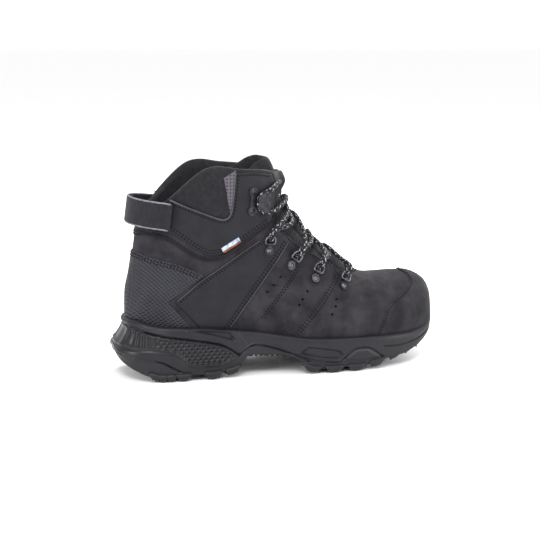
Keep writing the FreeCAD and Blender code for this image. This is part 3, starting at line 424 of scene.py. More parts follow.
def panel(name, outline, material, base=-0.3, top=1.1, edge=0.8, step=2.5, holes=(), seams=(),
          replaced=(), slot=None, rows=(0.12, 0.35, 0.8, 1.6)):
    """A closed leaf of leather between two offsets of the form, with a rolled edge. holes are
    places of hole middles; seams are distances from the edge at which stitching pulls it in."""
    places, owner = outline
    border3d = surface(places)
    direction = inward(places)
    rings, hole_loops = [], []
    dense = resample(closed_line(border3d), 0.45)
    for centre in np.reshape(holes, (-1, 1, 2)):
        n = form_normal(centre[:, 0], centre[:, 1])[0]
        t = unit(np.cross(n, [0, 0, 1.0]))
        b = np.cross(n, t)
        angles = np.linspace(0, 2 * math.pi, HOLE_SIDES, endpoint=False)
        shifts = np.outer(np.cos(angles), t) + np.outer(np.sin(angles), b)
        at_radius = lambda r: moved(np.repeat(centre, HOLE_SIDES, 0), shifts * r)
        hole_loops.append(at_radius(HOLE_RADIUS))
        dense = np.concatenate([dense, resample(surface(closed_line(hole_loops[-1])), 0.3)])
        rings += [at_radius(HOLE_RADIUS + 0.25), at_radius(HOLE_RADIUS + 0.7)]
    tree = kdtree.KDTree(len(dense))
    for i, p in enumerate(dense):
        tree.insert(p, i)
    tree.balance()

    def edge_distance(at):
        return np.array([tree.find(p)[2] for p in surface(at)])

    distances = sorted(set(rows) | {s + d for s in seams for d in SEAM_ROWS})
    for distance in distances:
        loop = inset(places, distance, direction)
        rings.append(loop[edge_distance(loop) > distance * 0.86])
    low, high = places.min(0), places.max(0)
    us = np.arange(low[1], high[1], step / U_SCALE)
    vs = np.arange(low[0], high[0], step / V_SCALE)
    grid = np.stack([g.ravel() for g in np.meshgrid(vs, us, indexing="ij")], 1)
    grid[:, 1] += 0.5 * step / U_SCALE * (np.round(grid[:, 0] / (step / V_SCALE)) % 2)
    grid = grid[inside_polygon(flat(grid), flat(places))]
    grid = grid[edge_distance(grid) > distances[-1] + 0.55 * step]
    loops = [places] + hole_loops
    points = np.concatenate(loops + rings + [grid])
    edges, start = [], 0
    for loop in loops:
        count = len(loop)
        edges += [(start + k, start + (k + 1) % count) for k in range(count)]
        start += count
    out = delaunay_2d_cdt([Vector(p) for p in flat(points)], edges, [], 1, 1e-5)
    uv = np.array([tuple(p) for p in out[0]])
    faces = np.array([f for f in out[2] if len(f) == 3])
    centres = uv[faces].mean(1)
    keep = inside_polygon(centres, flat(places))
    for loop in hole_loops:
        keep &= ~inside_polygon(centres, flat(loop))
    uv, faces, _ = used_only(uv, faces[keep])
    where = np.stack([uv[:, 1] / V_SCALE, uv[:, 0] / U_SCALE], 1)
    a, b, c = [uv[faces[:, k]] for k in range(3)]
    signed = (b[:, 0] - a[:, 0]) * (c[:, 1] - a[:, 1]) - (b[:, 1] - a[:, 1]) * (c[:, 0] - a[:, 0])
    faces[signed < 0] = faces[signed < 0][:, ::-1]
    pairs = {}
    for f in faces:
        for k in range(3):
            key = (min(f[k], f[k - 1]), max(f[k], f[k - 1]))
            pairs[key] = pairs.get(key, 0) + 1
    on_edge = np.zeros(len(where), bool)
    for key, count in pairs.items():
        if count == 1:
            on_edge[list(key)] = True
    distance = edge_distance(where)
    distance[on_edge] = 0
    rise = np.sqrt(np.clip(1 - (1 - np.clip(distance / edge, 0, 1)) ** 2, 0, 1))
    height = base + (top - base) * rise
    for s in seams:
        height = height - SEAM_DEPTH * np.exp(-((distance - s) / SEAM_WIDTH) ** 2) * (top > 0)
    upper = surface(where, height)
    under = surface(where, np.where(on_edge, height, base))
    inner = np.where(~on_edge)[0]
    remap = np.arange(len(where))
    remap[inner] = len(where) + np.arange(len(inner))
    verts = np.concatenate([upper, under[inner]])
    all_faces = np.concatenate([faces, remap[faces][:, ::-1]])
    add_mesh(name, verts, all_faces, material, replaced=replaced, slot=slot)
    return Panel(places, owner, direction, top)


STITCH_PITCH, STITCH_LENGTH, STITCH_RADIUS, STITCH_SIDES = 3.0, 1.65, 0.52, 6
STITCH_PARTS = (0, 0.14, 0.5, 0.86, 1)          # along a stitch
STITCH_WIDTHS = (0.45, 0.9, 1.0, 0.9, 0.45)     # of the radius
STITCH_LIFTS = (-0.35, 0.25, 0.45, 0.25, -0.35)


class Threads:
    """Stitches, gathered into one mesh."""

    def __init__(self):
        self.verts, self.faces = [], []

    def line(self, places, height):
        """Stitches along a line of places, standing on the leather's face."""
        track = resample(places, 0.3, surface(places))
        points = surface(track, height)
        normals = form_normal(track[:, 0], track[:, 1])
        lengths = running_length(points)
        count = int(lengths[-1] // STITCH_PITCH)
        at = lambda values, s: np.array([np.interp(s, lengths, values[:, k]) for k in range(3)])
        for k in range(count):
            start = (k + 0.5) * (lengths[-1] / count) - STITCH_LENGTH / 2
            self.stitch([at(points, start + STITCH_LENGTH * part) for part in STITCH_PARTS],
                        at(normals, start + STITCH_LENGTH / 2))

    def stitch(self, spine, normal):
        normal = unit(normal)
        side = np.cross(normal, unit(spine[-1] - spine[0]))
        start = len(self.verts)
        for point, wide, lift in zip(spine, STITCH_WIDTHS, STITCH_LIFTS):
            for k in range(STITCH_SIDES):
                a = k * 2 * math.pi / STITCH_SIDES
                self.verts.append(point + normal * STITCH_RADIUS * (lift + wide * math.sin(a))
                                  + side * STITCH_RADIUS * wide * math.cos(a))
        self.faces += tube_faces(len(spine), STITCH_SIDES, start)

    def border(self, leaf, owners, distances, trim=2):
        """Rows of stitches inside a panel's edge, along the segments of the outline named."""
        wanted = np.isin(leaf.owner, owners)
        runs, current = [], []
        order = list(range(len(wanted)))
        shift = next((k for k in order if not wanted[k]), 0)
        for k in order[shift:] + order[:shift]:
            if wanted[k]:
                current.append(k)
            elif current:
                runs.append(current)
                current = []
        if current:
            runs.append(current)
        for run in runs:
            for distance in distances:
                line = inset(leaf.places, distance, leaf.direction)[run]
                gaps = np.linalg.norm(surface(line) - surface(leaf.places)[run], axis=1)
                line = line[gaps > distance * 0.6]
                if len(line) > 2 * trim + 3:
                    self.line(line[trim:len(line) - trim], leaf.top)


# ---------------------------------------------------------------------------------------------
# Materials
# ---------------------------------------------------------------------------------------------
class Shader:
    """A Principled material and the few nodes that most of them share."""

    def __init__(self, name, colour, roughness, metallic=0.0, **sockets):
        self.material = bpy.data.materials.new(name)
        self.material.use_nodes = True
        self.tree = self.material.node_tree
        self.shader = next(n for n in self.tree.nodes if n.type == "BSDF_PRINCIPLED")
        self.put(self.shader, "Base Color", (*colour, 1))
        self.put(self.shader, "Roughness", roughness)
        self.put(self.shader, "Metallic", metallic)
        for socket, value in sockets.items():
            self.put(self.shader, socket.replace("_", " "), value)
        self.coordinates = self.node("ShaderNodeTexCoord").outputs["Object"]
        self.height = None

    def node(self, kind, **inputs):
        made = self.tree.nodes.new(kind)
        for socket, value in inputs.items():
            self.put(made, socket.replace("_", " "), value)
        return made

    def put(self, node, socket, value):
        if hasattr(value, "is_linked"):
            self.tree.links.new(value, node.inputs[socket])
        else:
            node.inputs[socket].default_value = value

    def noise(self, scale, detail=3.0, rough=0.55):
        made = self.node("ShaderNodeTexNoise", Scale=scale, Detail=detail, Roughness=rough)
        self.put(made, "Vector", self.coordinates)
        return made.outputs["Fac"]

    def voronoi(self, scale):
        made = self.node("ShaderNodeTexVoronoi", Scale=scale)
        self.put(made, "Vector", self.coordinates)
        return made.outputs["Distance"]

    def wave(self, scale, direction, distortion=0.0):
        """Bands across a direction of the model, scale of them to a metre."""
        dot = self.node("ShaderNodeVectorMath")
        dot.operation = "DOT_PRODUCT"
        self.tree.links.new(self.coordinates, dot.inputs[0])
        length = math.sqrt(sum(d * d for d in direction))
        dot.inputs[1].default_value = [d / length * scale * 2 * math.pi for d in direction]
        value = dot.outputs["Value"]
        if distortion:
            value = self.maths("ADD", value, self.maths("MULTIPLY", self.noise(90), distortion))
        return self.maths("SINE", value)

    def maths(self, operation, first, second=0.0):
        made = self.node("ShaderNodeMath")
        made.operation = operation
        for k, value in enumerate((first, second)):
            if hasattr(value, "is_linked"):
                self.tree.links.new(value, made.inputs[k])
            else:
                made.inputs[k].default_value = value
        return made.outputs[0]

    def ramp(self, value, *stops):
        made = self.node("ShaderNodeValToRGB")
        self.tree.links.new(value, made.inputs["Fac"])
        elements = made.color_ramp.elements
        while len(elements) < len(stops):
            elements.new(0.5)
        for element, (place, colour) in zip(elements, stops):
            element.position = place
            element.color = (*colour, 1)
        return made.outputs["Color"]

    def mottle(self, dark, light, scale=60, detail=5.0, low=0.35, high=0.68):
        value = self.noise(scale, detail, 0.6)
        self.put(self.shader, "Base Color", self.ramp(value, (low, dark), (high, light)))

    def rough(self, low, high, scale=140):
        made = self.node("ShaderNodeMapRange")
        self.tree.links.new(self.noise(scale, 4.0), made.inputs["Value"])
        made.inputs["From Min"].default_value, made.inputs["From Max"].default_value = 0.3, 0.7
        made.inputs["To Min"].default_value, made.inputs["To Max"].default_value = low, high
        self.put(self.shader, "Roughness", made.outputs["Result"])

    def bump(self, value, distance, strength=1.0):
        """Another layer of bump; distance is in metres."""
        made = self.node("ShaderNodeBump", Strength=strength, Distance=distance, Height=value)
        if self.height is not None:
            self.put(made, "Normal", self.height)
        self.height = made.outputs["Normal"]
        self.put(self.shader, "Normal", self.height)


def leather(name, dark, light, roughness, grain, depth, sheen, shine):
    """Mottled leather with pores; grain is pores to a metre and depth is theirs in metres."""
    made = Shader(name, light, roughness, Sheen_Weight=sheen, Sheen_Roughness=0.5,
                  Specular_IOR_Level=shine)
    made.mottle(dark, light, 55)
    made.rough(roughness - 0.06, roughness + 0.08)
    made.bump(made.noise(170, 3.0), 0.0006, 0.35)
    made.bump(made.voronoi(grain), depth, 0.6)
    made.bump(made.noise(grain * 1.6, 2.0), depth * 0.5, 0.5)
    return made.material


def fabric(name, dark, light, pitch, depth, sheen, roughness=0.85):
    """A plain weave: threads across two directions of the model, pitch metres apart."""
    made = Shader(name, light, roughness, Sheen_Weight=sheen, Sheen_Roughness=0.45,
                  Specular_IOR_Level=0.12)
    made.mottle(dark, light, 260, 3.0, 0.3, 0.7)
    across = made.wave(1 / pitch, (0.75, 0.35, 0.66), 0.8)
    along = made.wave(1 / pitch, (-0.66, 0.35, 0.75), 0.8)
    made.bump(made.maths("MULTIPLY", across, along), depth, 0.7)
    made.bump(made.noise(420, 2.0), depth, 0.4)
    return made.material


def rubber(name, dark, light, roughness, grain=900, depth=0.00008):
    made = Shader(name, light, roughness, Specular_IOR_Level=0.26)
    made.mottle(dark, light, 38, 4.0, 0.3, 0.72)
    made.rough(roughness - 0.07, roughness + 0.07, 80)
    made.bump(made.noise(grain, 3.0), depth, 0.6)
    return made.material


def metal(name, dark, light, roughness):
    made = Shader(name, light, roughness, 1.0)
    made.mottle(dark, light, 300, 3.0)
    made.rough(roughness - 0.08, roughness + 0.12, 500)
    made.bump(made.noise(1500, 4.0), 0.00002, 0.5)
    return made.material


NUBUCK = leather("nubuck", (0.0088, 0.0080, 0.0098), (0.0262, 0.0236, 0.0290), 0.8, 1500, 0.00009,
                 0.04, 0.13)
SMOOTH = leather("smooth_leather", (0.0062, 0.0063, 0.0088), (0.0100, 0.0101, 0.0138), 0.5, 1100,
                 0.00006, 0.01, 0.2)
SOFT = leather("soft_leather", (0.0082, 0.0080, 0.0100), (0.0150, 0.0146, 0.0180), 0.65, 1000,
               0.00008, 0.03, 0.15)
COLLAR = fabric("collar_fabric", (0.0092, 0.0090, 0.0105), (0.0168, 0.0163, 0.0192), 0.0011, 0.0001,
                0.12, 0.9)
LINING = fabric("lining_fabric", (0.0100, 0.0099, 0.0118), (0.0200, 0.0196, 0.0232), 0.0022,
                0.00025, 0.08)
TONGUE = fabric("tongue_fabric", (0.0102, 0.0100, 0.0118), (0.0195, 0.0190, 0.0226), 0.0018, 0.0002,
                0.08)
WEBBING = fabric("webbing", (0.0112, 0.0111, 0.0140), (0.0172, 0.0170, 0.0210), 0.0007, 0.00005,
                 0.06, 0.75)
EDGING = fabric("webbing_edge", (0.10, 0.10, 0.112), (0.2, 0.2, 0.22), 0.001, 0.00008, 0.1)
# The piping's light grey, far lighter than the smooth leather, is painted highlight: the lit rims
# along the panels' edges.
PIPING_PAINTED_HIGHLIGHT = leather("piping_painted_highlight", (0.026, 0.026, 0.03), (0.048, 0.048, 0.055), 0.42, 1400, 0.00004, 0.02,
                 0.35)
BINDING = leather("binding", (0.0028, 0.0028, 0.0034), (0.0058, 0.0057, 0.0068), 0.6, 1200, 0.00006,
                  0.02, 0.2)
THREAD = fabric("thread", (0.0022, 0.0022, 0.0025), (0.0048, 0.0048, 0.0053), 0.0005, 0.00005, 0.0,
                0.8)
MIDSOLE = rubber("midsole_rubber", (0.0068, 0.0067, 0.0092), (0.0115, 0.0113, 0.0152), 0.44)
POD = rubber("pod_rubber", (0.0065, 0.0064, 0.0086), (0.0108, 0.0107, 0.0142), 0.36)
OUTSOLE = rubber("outsole_rubber", (0.0078, 0.0077, 0.0100), (0.0132, 0.0131, 0.0166), 0.48)
BADGE = rubber("badge_rubber", (0.02, 0.02, 0.022), (0.03, 0.03, 0.033), 0.45)
GUNMETAL = metal("gunmetal", (0.03, 0.03, 0.034), (0.058, 0.058, 0.065), 0.34)
RING_METAL = metal("ring_metal", (0.075, 0.075, 0.083), (0.14, 0.14, 0.155), 0.27)
RIVET = metal("rivet_metal", (0.075, 0.075, 0.083), (0.13, 0.13, 0.143), 0.33)
STEEL = metal("steel", (0.45, 0.45, 0.47), (0.6, 0.6, 0.62), 0.35)
BOARD = rubber("board", (0.12, 0.11, 0.1), (0.18, 0.17, 0.15), 0.8)
AGLET = rubber("aglet_plastic", (0.006, 0.006, 0.006), (0.01, 0.01, 0.01), 0.25, 300, 0.00002)
TAG = fabric("tag_white", (0.12, 0.17, 0.25), (0.62, 0.68, 0.75), 0.0007, 0.00008, 0.05)
TAG_STRIPE = fabric("tag_orange", (0.12, 0.03, 0.016), (0.3, 0.085, 0.045), 0.0007, 0.00008, 0.05)


def ribbed():
    """Leather with fine slanting ribs, broken up by ribs across them."""
    made = Shader("ribbed_heel_painted_light", (0.010, 0.0103, 0.0135), 0.55, Specular_IOR_Level=0.22)
    # The mottle is the heel leather's tone, raised by about a fifth as painted light for the light
    # that falls on the heel from the back-left.
    made.mottle((0.0172, 0.0174, 0.0225), (0.0252, 0.0255, 0.0326), 45)
    ribs = made.wave(360, (-0.5, 0.12, 0.87))
    cross_ribs = made.wave(420, (0.75, 0.25, 0.6))
    made.bump(ribs, 0.00034, 1.0)
    made.bump(made.maths("MULTIPLY", ribs, cross_ribs), 0.00028, 1.0)
    made.bump(made.noise(900), 0.00006, 0.5)
    return made.material


def perforated():
    """Grey mesh with a square grid of small dark holes, as seen from the side."""
    made = Shader("perforated_mesh", (0.06, 0.05, 0.062), 0.85, Specular_IOR_Level=0.2)
    parts = made.node("ShaderNodeSeparateXYZ")
    made.tree.links.new(made.coordinates, parts.inputs[0])
    flat_place = made.node("ShaderNodeCombineXYZ", X=parts.outputs["X"], Y=parts.outputs["Z"])
    dots = made.node("ShaderNodeTexVoronoi", Scale=330, Randomness=0.0)
    dots.voronoi_dimensions = "2D"
    made.put(dots, "Vector", flat_place.outputs[0])
    distance = dots.outputs["Distance"]
    colour = made.ramp(distance, (0.16, (0.006, 0.005, 0.006)), (0.26, (0.078, 0.07, 0.086)))
    made.put(made.shader, "Base Color", colour)
    made.bump(made.maths("MINIMUM", distance, 0.26), 0.0004, 0.8)
    return made.material


RIBBED_PAINTED_LIGHT, MESH = ribbed(), perforated()

# ---------------------------------------------------------------------------------------------
# The upper's leaves
# ---------------------------------------------------------------------------------------------
threads = Threads()
PERFORATIONS = [[(-8, 89), (-14, 82), (-20, 76)], [(17, 75), (12, 68), (9, 63)],
                [(44, 66), (43, 60), (39, 53)]]


vamp = panel("vamp_leaf", trace([[(77, 84.3), (70, 85.5), (60, 87.5), (49, 91)],
                                 [(49, 91), (45, 87), (22, 60), (2, 37), (-3, 30)],
                                 [(-3, 30), (30, 26), (70, 23), (110, 23), (140, 24), (149, 31)]],
                                over="front"),
             NUBUCK, base=-1.0, top=0.7, seams=(2.2, 5.0),
             holes=np.concatenate([ring_turn(PERFORATIONS[2], side) for side in (-1, 1)]),
             replaced=("vamp",), slot="nubuck")
threads.border(vamp, (1,), (2.2, 5.0))
threads.border(vamp, (0,), (2.2,))
toe = panel("toe_leaf", trace([[(121, 81.2), (124, 79.5), (126.5, 76.5), (126.3, 73), (122, 69.5),
                                (110, 63), (101, 59), (94, 54), (89, 45), (85, 38), (80, 29)],
                               [(80, 29), (95, 24), (120, 23), (140, 24), (149, 31)]],
                              over="front"),
            NUBUCK, base=0.2, top=1.6, seams=(2.0,),
            replaced=("toe_overlay",), slot="smooth_leather")
threads.border(toe, (0,), (2.0,), trim=0)

heel = panel("heel_leaf", trace([[(-134.3, 114), (-127, 111.8), (-119, 109), (-100, 104),
                                  (-77, 94)],
                                 [(-77, 94), (-79, 91), (-94, 80.5), (-108, 70)],
                                 [(-108, 70), (-98, 58), (-87, 44)],
                                 [(-87, 44), (-110, 43), (-130, 44), (-141, 46)]], over="heel"),
             RIBBED_PAINTED_LIGHT, base=-0.5, top=0.9, seams=(2.2,),
             replaced=("heel_overlay",), slot="heel_leather")
threads.border(heel, (0,), (2.2, 4.6))

strip = panel("heel_strip_leaf", trace([[(-128.2, 151), (-120, 150), (-112, 152), (-106, 156)],
                                        [(-106, 156), (-108, 146), (-110, 136)],
                                        [(-110, 136), (-120, 129), (-133, 126)]], over="heel"),
              SOFT, base=-0.6, top=0.6, seams=(2.0,), replaced=("heel_strip",), slot="heel_leather")
threads.border(strip, (0, 2), (2.0,))

for name, side in SIDES.items():
    quarter = panel(f"quarter_leaf_{name}", trace([
        [(-141.8, 44), (-120, 40), (-60, 35), (0, 30), (12, 29)],
        [(12, 29), (16, 42), (33, 62), (56, 86)],
        [(56, 86), (52, 91.5), (37, 101), (26, 107), (14, 114.5), (2, 124), (-8, 132), (-16, 139)],
        [(-16, 139), (-30, 129.5), (-44, 120), (-56, 112), (-66, 108), (-76, 107.5), (-87, 112),
         (-103, 123), (-118, 128.5), (-131.5, 130.5)],
        [(-131.5, 130.5), (-134.5, 112), (-139.5, 86), (-141.8, 60), (-141.8, 44)]], side), NUBUCK,
        base=-1.9, top=0.0, seams=(2.2,),
        holes=ring_turn(PERFORATIONS[0] + PERFORATIONS[1], side),
        replaced=(f"quarter_{name}",), slot="nubuck")
    threads.border(quarter, (2,), (2.4,))
    for offset in (-2.6, 0.0):
        line = catmull([(12 + offset, 98), (-5 + offset, 76), (-23 + offset, 52)])
        threads.line(ring_turn(line, side), 0.0)
    side_leaf = panel(f"side_leaf_{name}", trace([
        [(-102, 70), (-80, 87), (-60, 100), (-38, 115), (-24, 123.5), (-10, 132)],
        [(-10, 132), (-4, 126), (1, 121)],
        [(1, 121), (-12, 103), (-33, 73.5), (-54, 44), (-60, 36)],
        [(-60, 36), (-70, 38), (-76, 39)],
        [(-76, 39), (-83, 48), (-102, 70)]], side), SMOOTH, base=-0.1, top=1.2, seams=(2.0, 4.6),
        replaced=(f"side_panel_{name}",), slot="smooth_leather")
    threads.border(side_leaf, (2,), (2.0, 4.6))
    threads.border(side_leaf, (0,), (2.0,))
    collar_leaf = panel(f"collar_leaf_{name}", trace([
        [(-106, 161), (-92, 154.5), (-80, 149.5), (-64, 143.2), (-56.5, 143.2), (-52.8, 148.5),
         (-51, 161), (-49, 183.5)],
        [(-49, 183.5), (-30, 183), (-14, 180)],
        [(-14, 180), (-11, 172), (-12, 155), (-16, 139)],
        [(-16, 139), (-30, 130), (-44, 121), (-56, 113.8), (-66, 111.3), (-76, 112.5), (-88, 119.5),
         (-101, 129.5), (-111, 135.5)],
        [(-111, 135.5), (-108.5, 148), (-106, 161)]], side), SMOOTH,
        base=-0.3, top=1.1, seams=(2.2,),
        replaced=(f"collar_overlay_{name}",), slot="smooth_leather")
    threads.border(collar_leaf, (0, 1, 3), (2.2,))
    threads.border(collar_leaf, (3, 4), (4.6,))


CORD_END = 0.35   # share of a cord's radius at its ends


def pipe(name, line, side, height, radius, material, slot):
    """A sewn-in cord along a side-view line."""
    places = ring_turn(catmull(line), side)
    places = resample(places, 1.2, surface(places))
    tube_mesh(name, surface(places, height), radius, material, slot)


def tube_mesh(name, points, radius, material, slot, sides=10, body="root"):
    """A cord along points. Its radius is a number, or a function of point and angle."""
    tangent = unit(np.gradient(points, axis=0))
    normal = np.zeros_like(points)
    start = unit(np.cross(tangent[0], [0.3, 0.2, 1.0]))
    for k, t in enumerate(tangent):
        start = unit(start - t * (start @ t))
        normal[k] = start
    binormal = np.cross(tangent, normal)
    angles = np.linspace(0, 2 * math.pi, sides, endpoint=False)
    along = np.arange(len(points))[:, None]
    if callable(radius):
        r = radius(along, angles[None, :])
    else:
        r = np.full((len(points), sides), float(radius))
    r[[0, -1]] *= CORD_END
    verts = (points[:, None] + r[..., None] * (np.cos(angles)[None, :, None] * normal[:, None]
                                               + np.sin(angles)[None, :, None] * binormal[:, None]))
    faces = tube_faces(len(points), sides)
    return add_mesh(name, verts.reshape(-1, 3), faces, material, body, slot=slot)


for name, side in SIDES.items():
    # The collar leaf's rolled edge, in the light piping colour: partly the real piping, partly
    # painted highlight along its lit rim.
    pipe(f"collar_piping_{name}", [(-106, 161.4), (-92, 154.9), (-80, 149.9), (-64, 143.6),
                                   (-57, 143.6), (-53.3, 148.5), (-51.5, 161),
                                   (-49.5, 184)], side,
         1.35, 0.8, PIPING_PAINTED_HIGHLIGHT, "smooth_leather")
    panel(f"ankle_band_{name}", trace([
        [(-128, 131), (-118, 131.5), (-110, 137.5), (-101, 131.5), (-88, 121.5), (-76, 114.5),
         (-66, 113.5), (-54, 117)],
        [(-54, 117), (-56, 110)],
        [(-56, 110), (-66, 106), (-76, 105.5), (-87, 110), (-103, 121), (-118, 126.8),
         (-131, 128.8)],
        [(-131, 128.8), (-128, 131)]], side), NUBUCK, base=-1.7, top=-0.25, slot="nubuck")
    pipe(f"ankle_binding_{name}", [(-130.5, 131.8), (-118, 130), (-103, 124.6), (-87, 113.8),
                                   (-76, 109), (-66, 109.2), (-56, 112.6), (-40, 122.8),
                                   (-18, 138)], side,
         0.2, 1.0, BINDING, "nubuck")
    pipe(f"quarter_binding_{name}", [(-131, 130.6), (-118, 128.4), (-103, 122.8), (-87, 111.8),
                                     (-76, 107.2), (-66, 107.4), (-56, 111.2),
                                     (-40, 121)], side,
         0.55, 0.85, BINDING, "nubuck")
    # Thin cords along the side leaf's top and front edges, in the light piping colour: the raised
    # edges themselves, with painted highlight along their lit rims.
    pipe(f"side_edge_painted_highlight_{name}", [(-101, 70.8), (-80, 87.9), (-60, 100.9), (-38, 115.8), (-26, 123)],
         side, 1.0, 0.42, PIPING_PAINTED_HIGHLIGHT, "smooth_leather")
    pipe(f"side_front_edge_painted_highlight_{name}", [(0, 120), (-12.5, 102.6), (-33.5, 73), (-54, 44.4)], side,
         1.0, 0.36, PIPING_PAINTED_HIGHLIGHT, "smooth_leather")
    panel(f"mesh_insert_{name}", trace([
        [(-60.5, 180), (-49, 186)],
        [(-49, 186), (-51, 166), (-54, 146)],
        [(-54, 146), (-57.5, 163), (-60.5, 180)]], side, step=0.9), MESH,
        base=-0.8, top=2.7, edge=1.4, step=1.6, rows=(0.12, 0.35, 0.8), slot="collar_fabric")

# ---------------------------------------------------------------------------------------------
# The sole: a dense wall round its outline, carved as the side view shows, a base and lugs
# ---------------------------------------------------------------------------------------------
FEATHER = Curve([(-157, 54.5), (-150, 54.2), (-145.5, 54), (-137, 52.8), (-120, 50), (-91, 48),
                 (-54, 44), (-31, 41), (0, 35.5), (17, 33), (40, 31.5), (80, 31), (115, 31),
                 (134, 33.5), (146, 38), (152.6, 44), (156, 46)])
TREAD_TOP = Curve([(-157, 26.5), (-154, 25.5), (-143, 22.5), (-131, 20), (-118, 18.5), (-111, 15),
                   (-101, 9.5), (-94, 8), (-62, 8.5), (-56, 12.5), (-47, 20.5), (-37, 28),
                   (-31, 29), (-20, 27), (-3, 21), (16, 12), (29, 9.5), (60, 9.5), (90, 12),
                   (110, 16), (130, 22), (153.8, 34)])
POD_TOP = Curve([(-157, 48.5), (-146.8, 48), (-133, 45), (-114, 41), (-90, 37), (-64, 31),
                 (-47, 20.5)])
POD_LOW = Curve([(-157, 31), (-140, 30), (-124, 29), (-113, 27), (-104, 24), (-97, 17), (-90, 12.5),
                 (-65, 12), (-60, 13), (-47, 20)])
GROUND = Curve([(-156, 26), (-154, 22.5), (-152.5, 18), (-148, 13.5), (-137, 7), (-125, 2.2),
                (-116, 0), (-70, 0), (-56, 2.5), (-50, 4), (-44, 9), (-38, 14.5), (-20, 14.5),
                (0, 12.5), (10, 6), (14, 3), (20, 1), (28, 0), (66, 0), (80, 2.5), (96, 6),
                (110, 9.5), (122, 13.5), (132, 18), (142, 24), (153.8, 33)])
SOLE_LATERAL = [(-153, 10), (-149, 22), (-138, 33), (-120, 39), (-95, 42), (-60, 43), (-30, 44.5),
                (0, 49.5), (30, 53), (58, 54), (85, 53), (108, 49), (127, 42), (141, 31.5),
                (149.5, 18.5), (152.8, 9)]
SOLE_MEDIAL = [(-153, 10), (-149, 22), (-138, 33), (-120, 39), (-95, 41.5), (-60, 41), (-30, 42),
               (0, 45.5), (30, 50), (58, 53.3), (85, 54), (108, 51.5), (128, 45), (142, 34.5),
               (150, 20.5), (153, 9.5)]
OUTLINE = [(-154, 0)] + [(x, -y) for x, y in SOLE_LATERAL] + [(153.8, 0)] + SOLE_MEDIAL[::-1]
OUTLINE = resample(closed_line(catmull(OUTLINE, 16, closed=True)), 0.85)[:-1]
HALF_OUTLINE = {side: OUTLINE[OUTLINE[:, 1] * side >= -0.01] for side in (-1, 1)}
HALF_OUTLINE = {side: line[np.argsort(line[:, 0])] for side, line in HALF_OUTLINE.items()}


def sole_width(x, side):
    line = HALF_OUTLINE[side]
    return np.interp(x, line[:, 0], np.abs(line[:, 1]), left=0, right=0)


GROOVES_ON_SIDE = [
    # points of the side view, depth, half width
    ([(-158, 48), (-146.5, 48), (-133, 45), (-114, 41), (-90, 37), (-64, 31), (-47, 20.5)], 1.9,
     1.1),
    ([(-158, 24.5), (-156, 24.5), (-145, 24.5), (-132, 22), (-119, 19), (-111, 15), (-101, 9)],
     1.35, 0.8),
    ([(-47, 41), (-42, 35), (-37, 28.5)], 0.8, 0.8),
    ([(46, 10), (60, 20.6), (73, 20.6), (87, 11)], 1.5, 0.8),
    ([(88, 21), (105, 20.5), (128, 24.5), (146, 32), (158, 39)], 1.3, 0.8),
    ([(-47, 20.5), (-37, 28), (-31, 28.6), (-20, 27), (-3, 21), (16, 12)], 1.2, 0.9),
    ([(-158, 55.5), (-147, 55.5), (-138, 50.5), (-120, 47.5)], 0.7, 0.9),
]
LIPS_ON_SIDE = [
    ([(-158, 33.5), (-150, 33.2), (-140, 32.2), (-124, 31), (-112, 28.8), (-103, 25), (-96, 18.5),
      (-89, 14), (-66, 13.5),
      (-59, 15)], 1.3, 0.9),
    ([(-158, 51), (-146.5, 51), (-133, 47.8), (-114, 43.8), (-90, 39.6), (-64, 33.6)], 0.6, 1.2),
    ([(5, 20.5), (16, 16), (28, 12.7), (43, 11.2)], 1.5, 0.9),
    ([(-94, 45.8), (-74, 41.5), (-57, 36.2), (-49, 32.8)], 0.9, 0.9),
    ([(-41, 27.5), (-34, 31), (-24, 30), (-4, 23.6)], 1.1, 0.8),
]
RECESSES = [
    (np.array([(-98, 47), (-78, 45.8), (-55, 42.3), (-49.5, 32.5), (-57, 35.5), (-75, 41)]), 2.6),
    (np.array([(7, 20), (15, 26), (36, 22.6), (45, 20.5), (49, 15.5), (43, 13), (28, 14.5),
               (16, 17.5)]), 2.0),
]
BADGE_OUTLINE = np.array([(50, 12.2), (61, 19), (72, 19), (83.5, 12.2), (72, 10.8), (61, 10.8)])
DIAMOND = 2.5   # millimetres across half a diamond of the heel pod


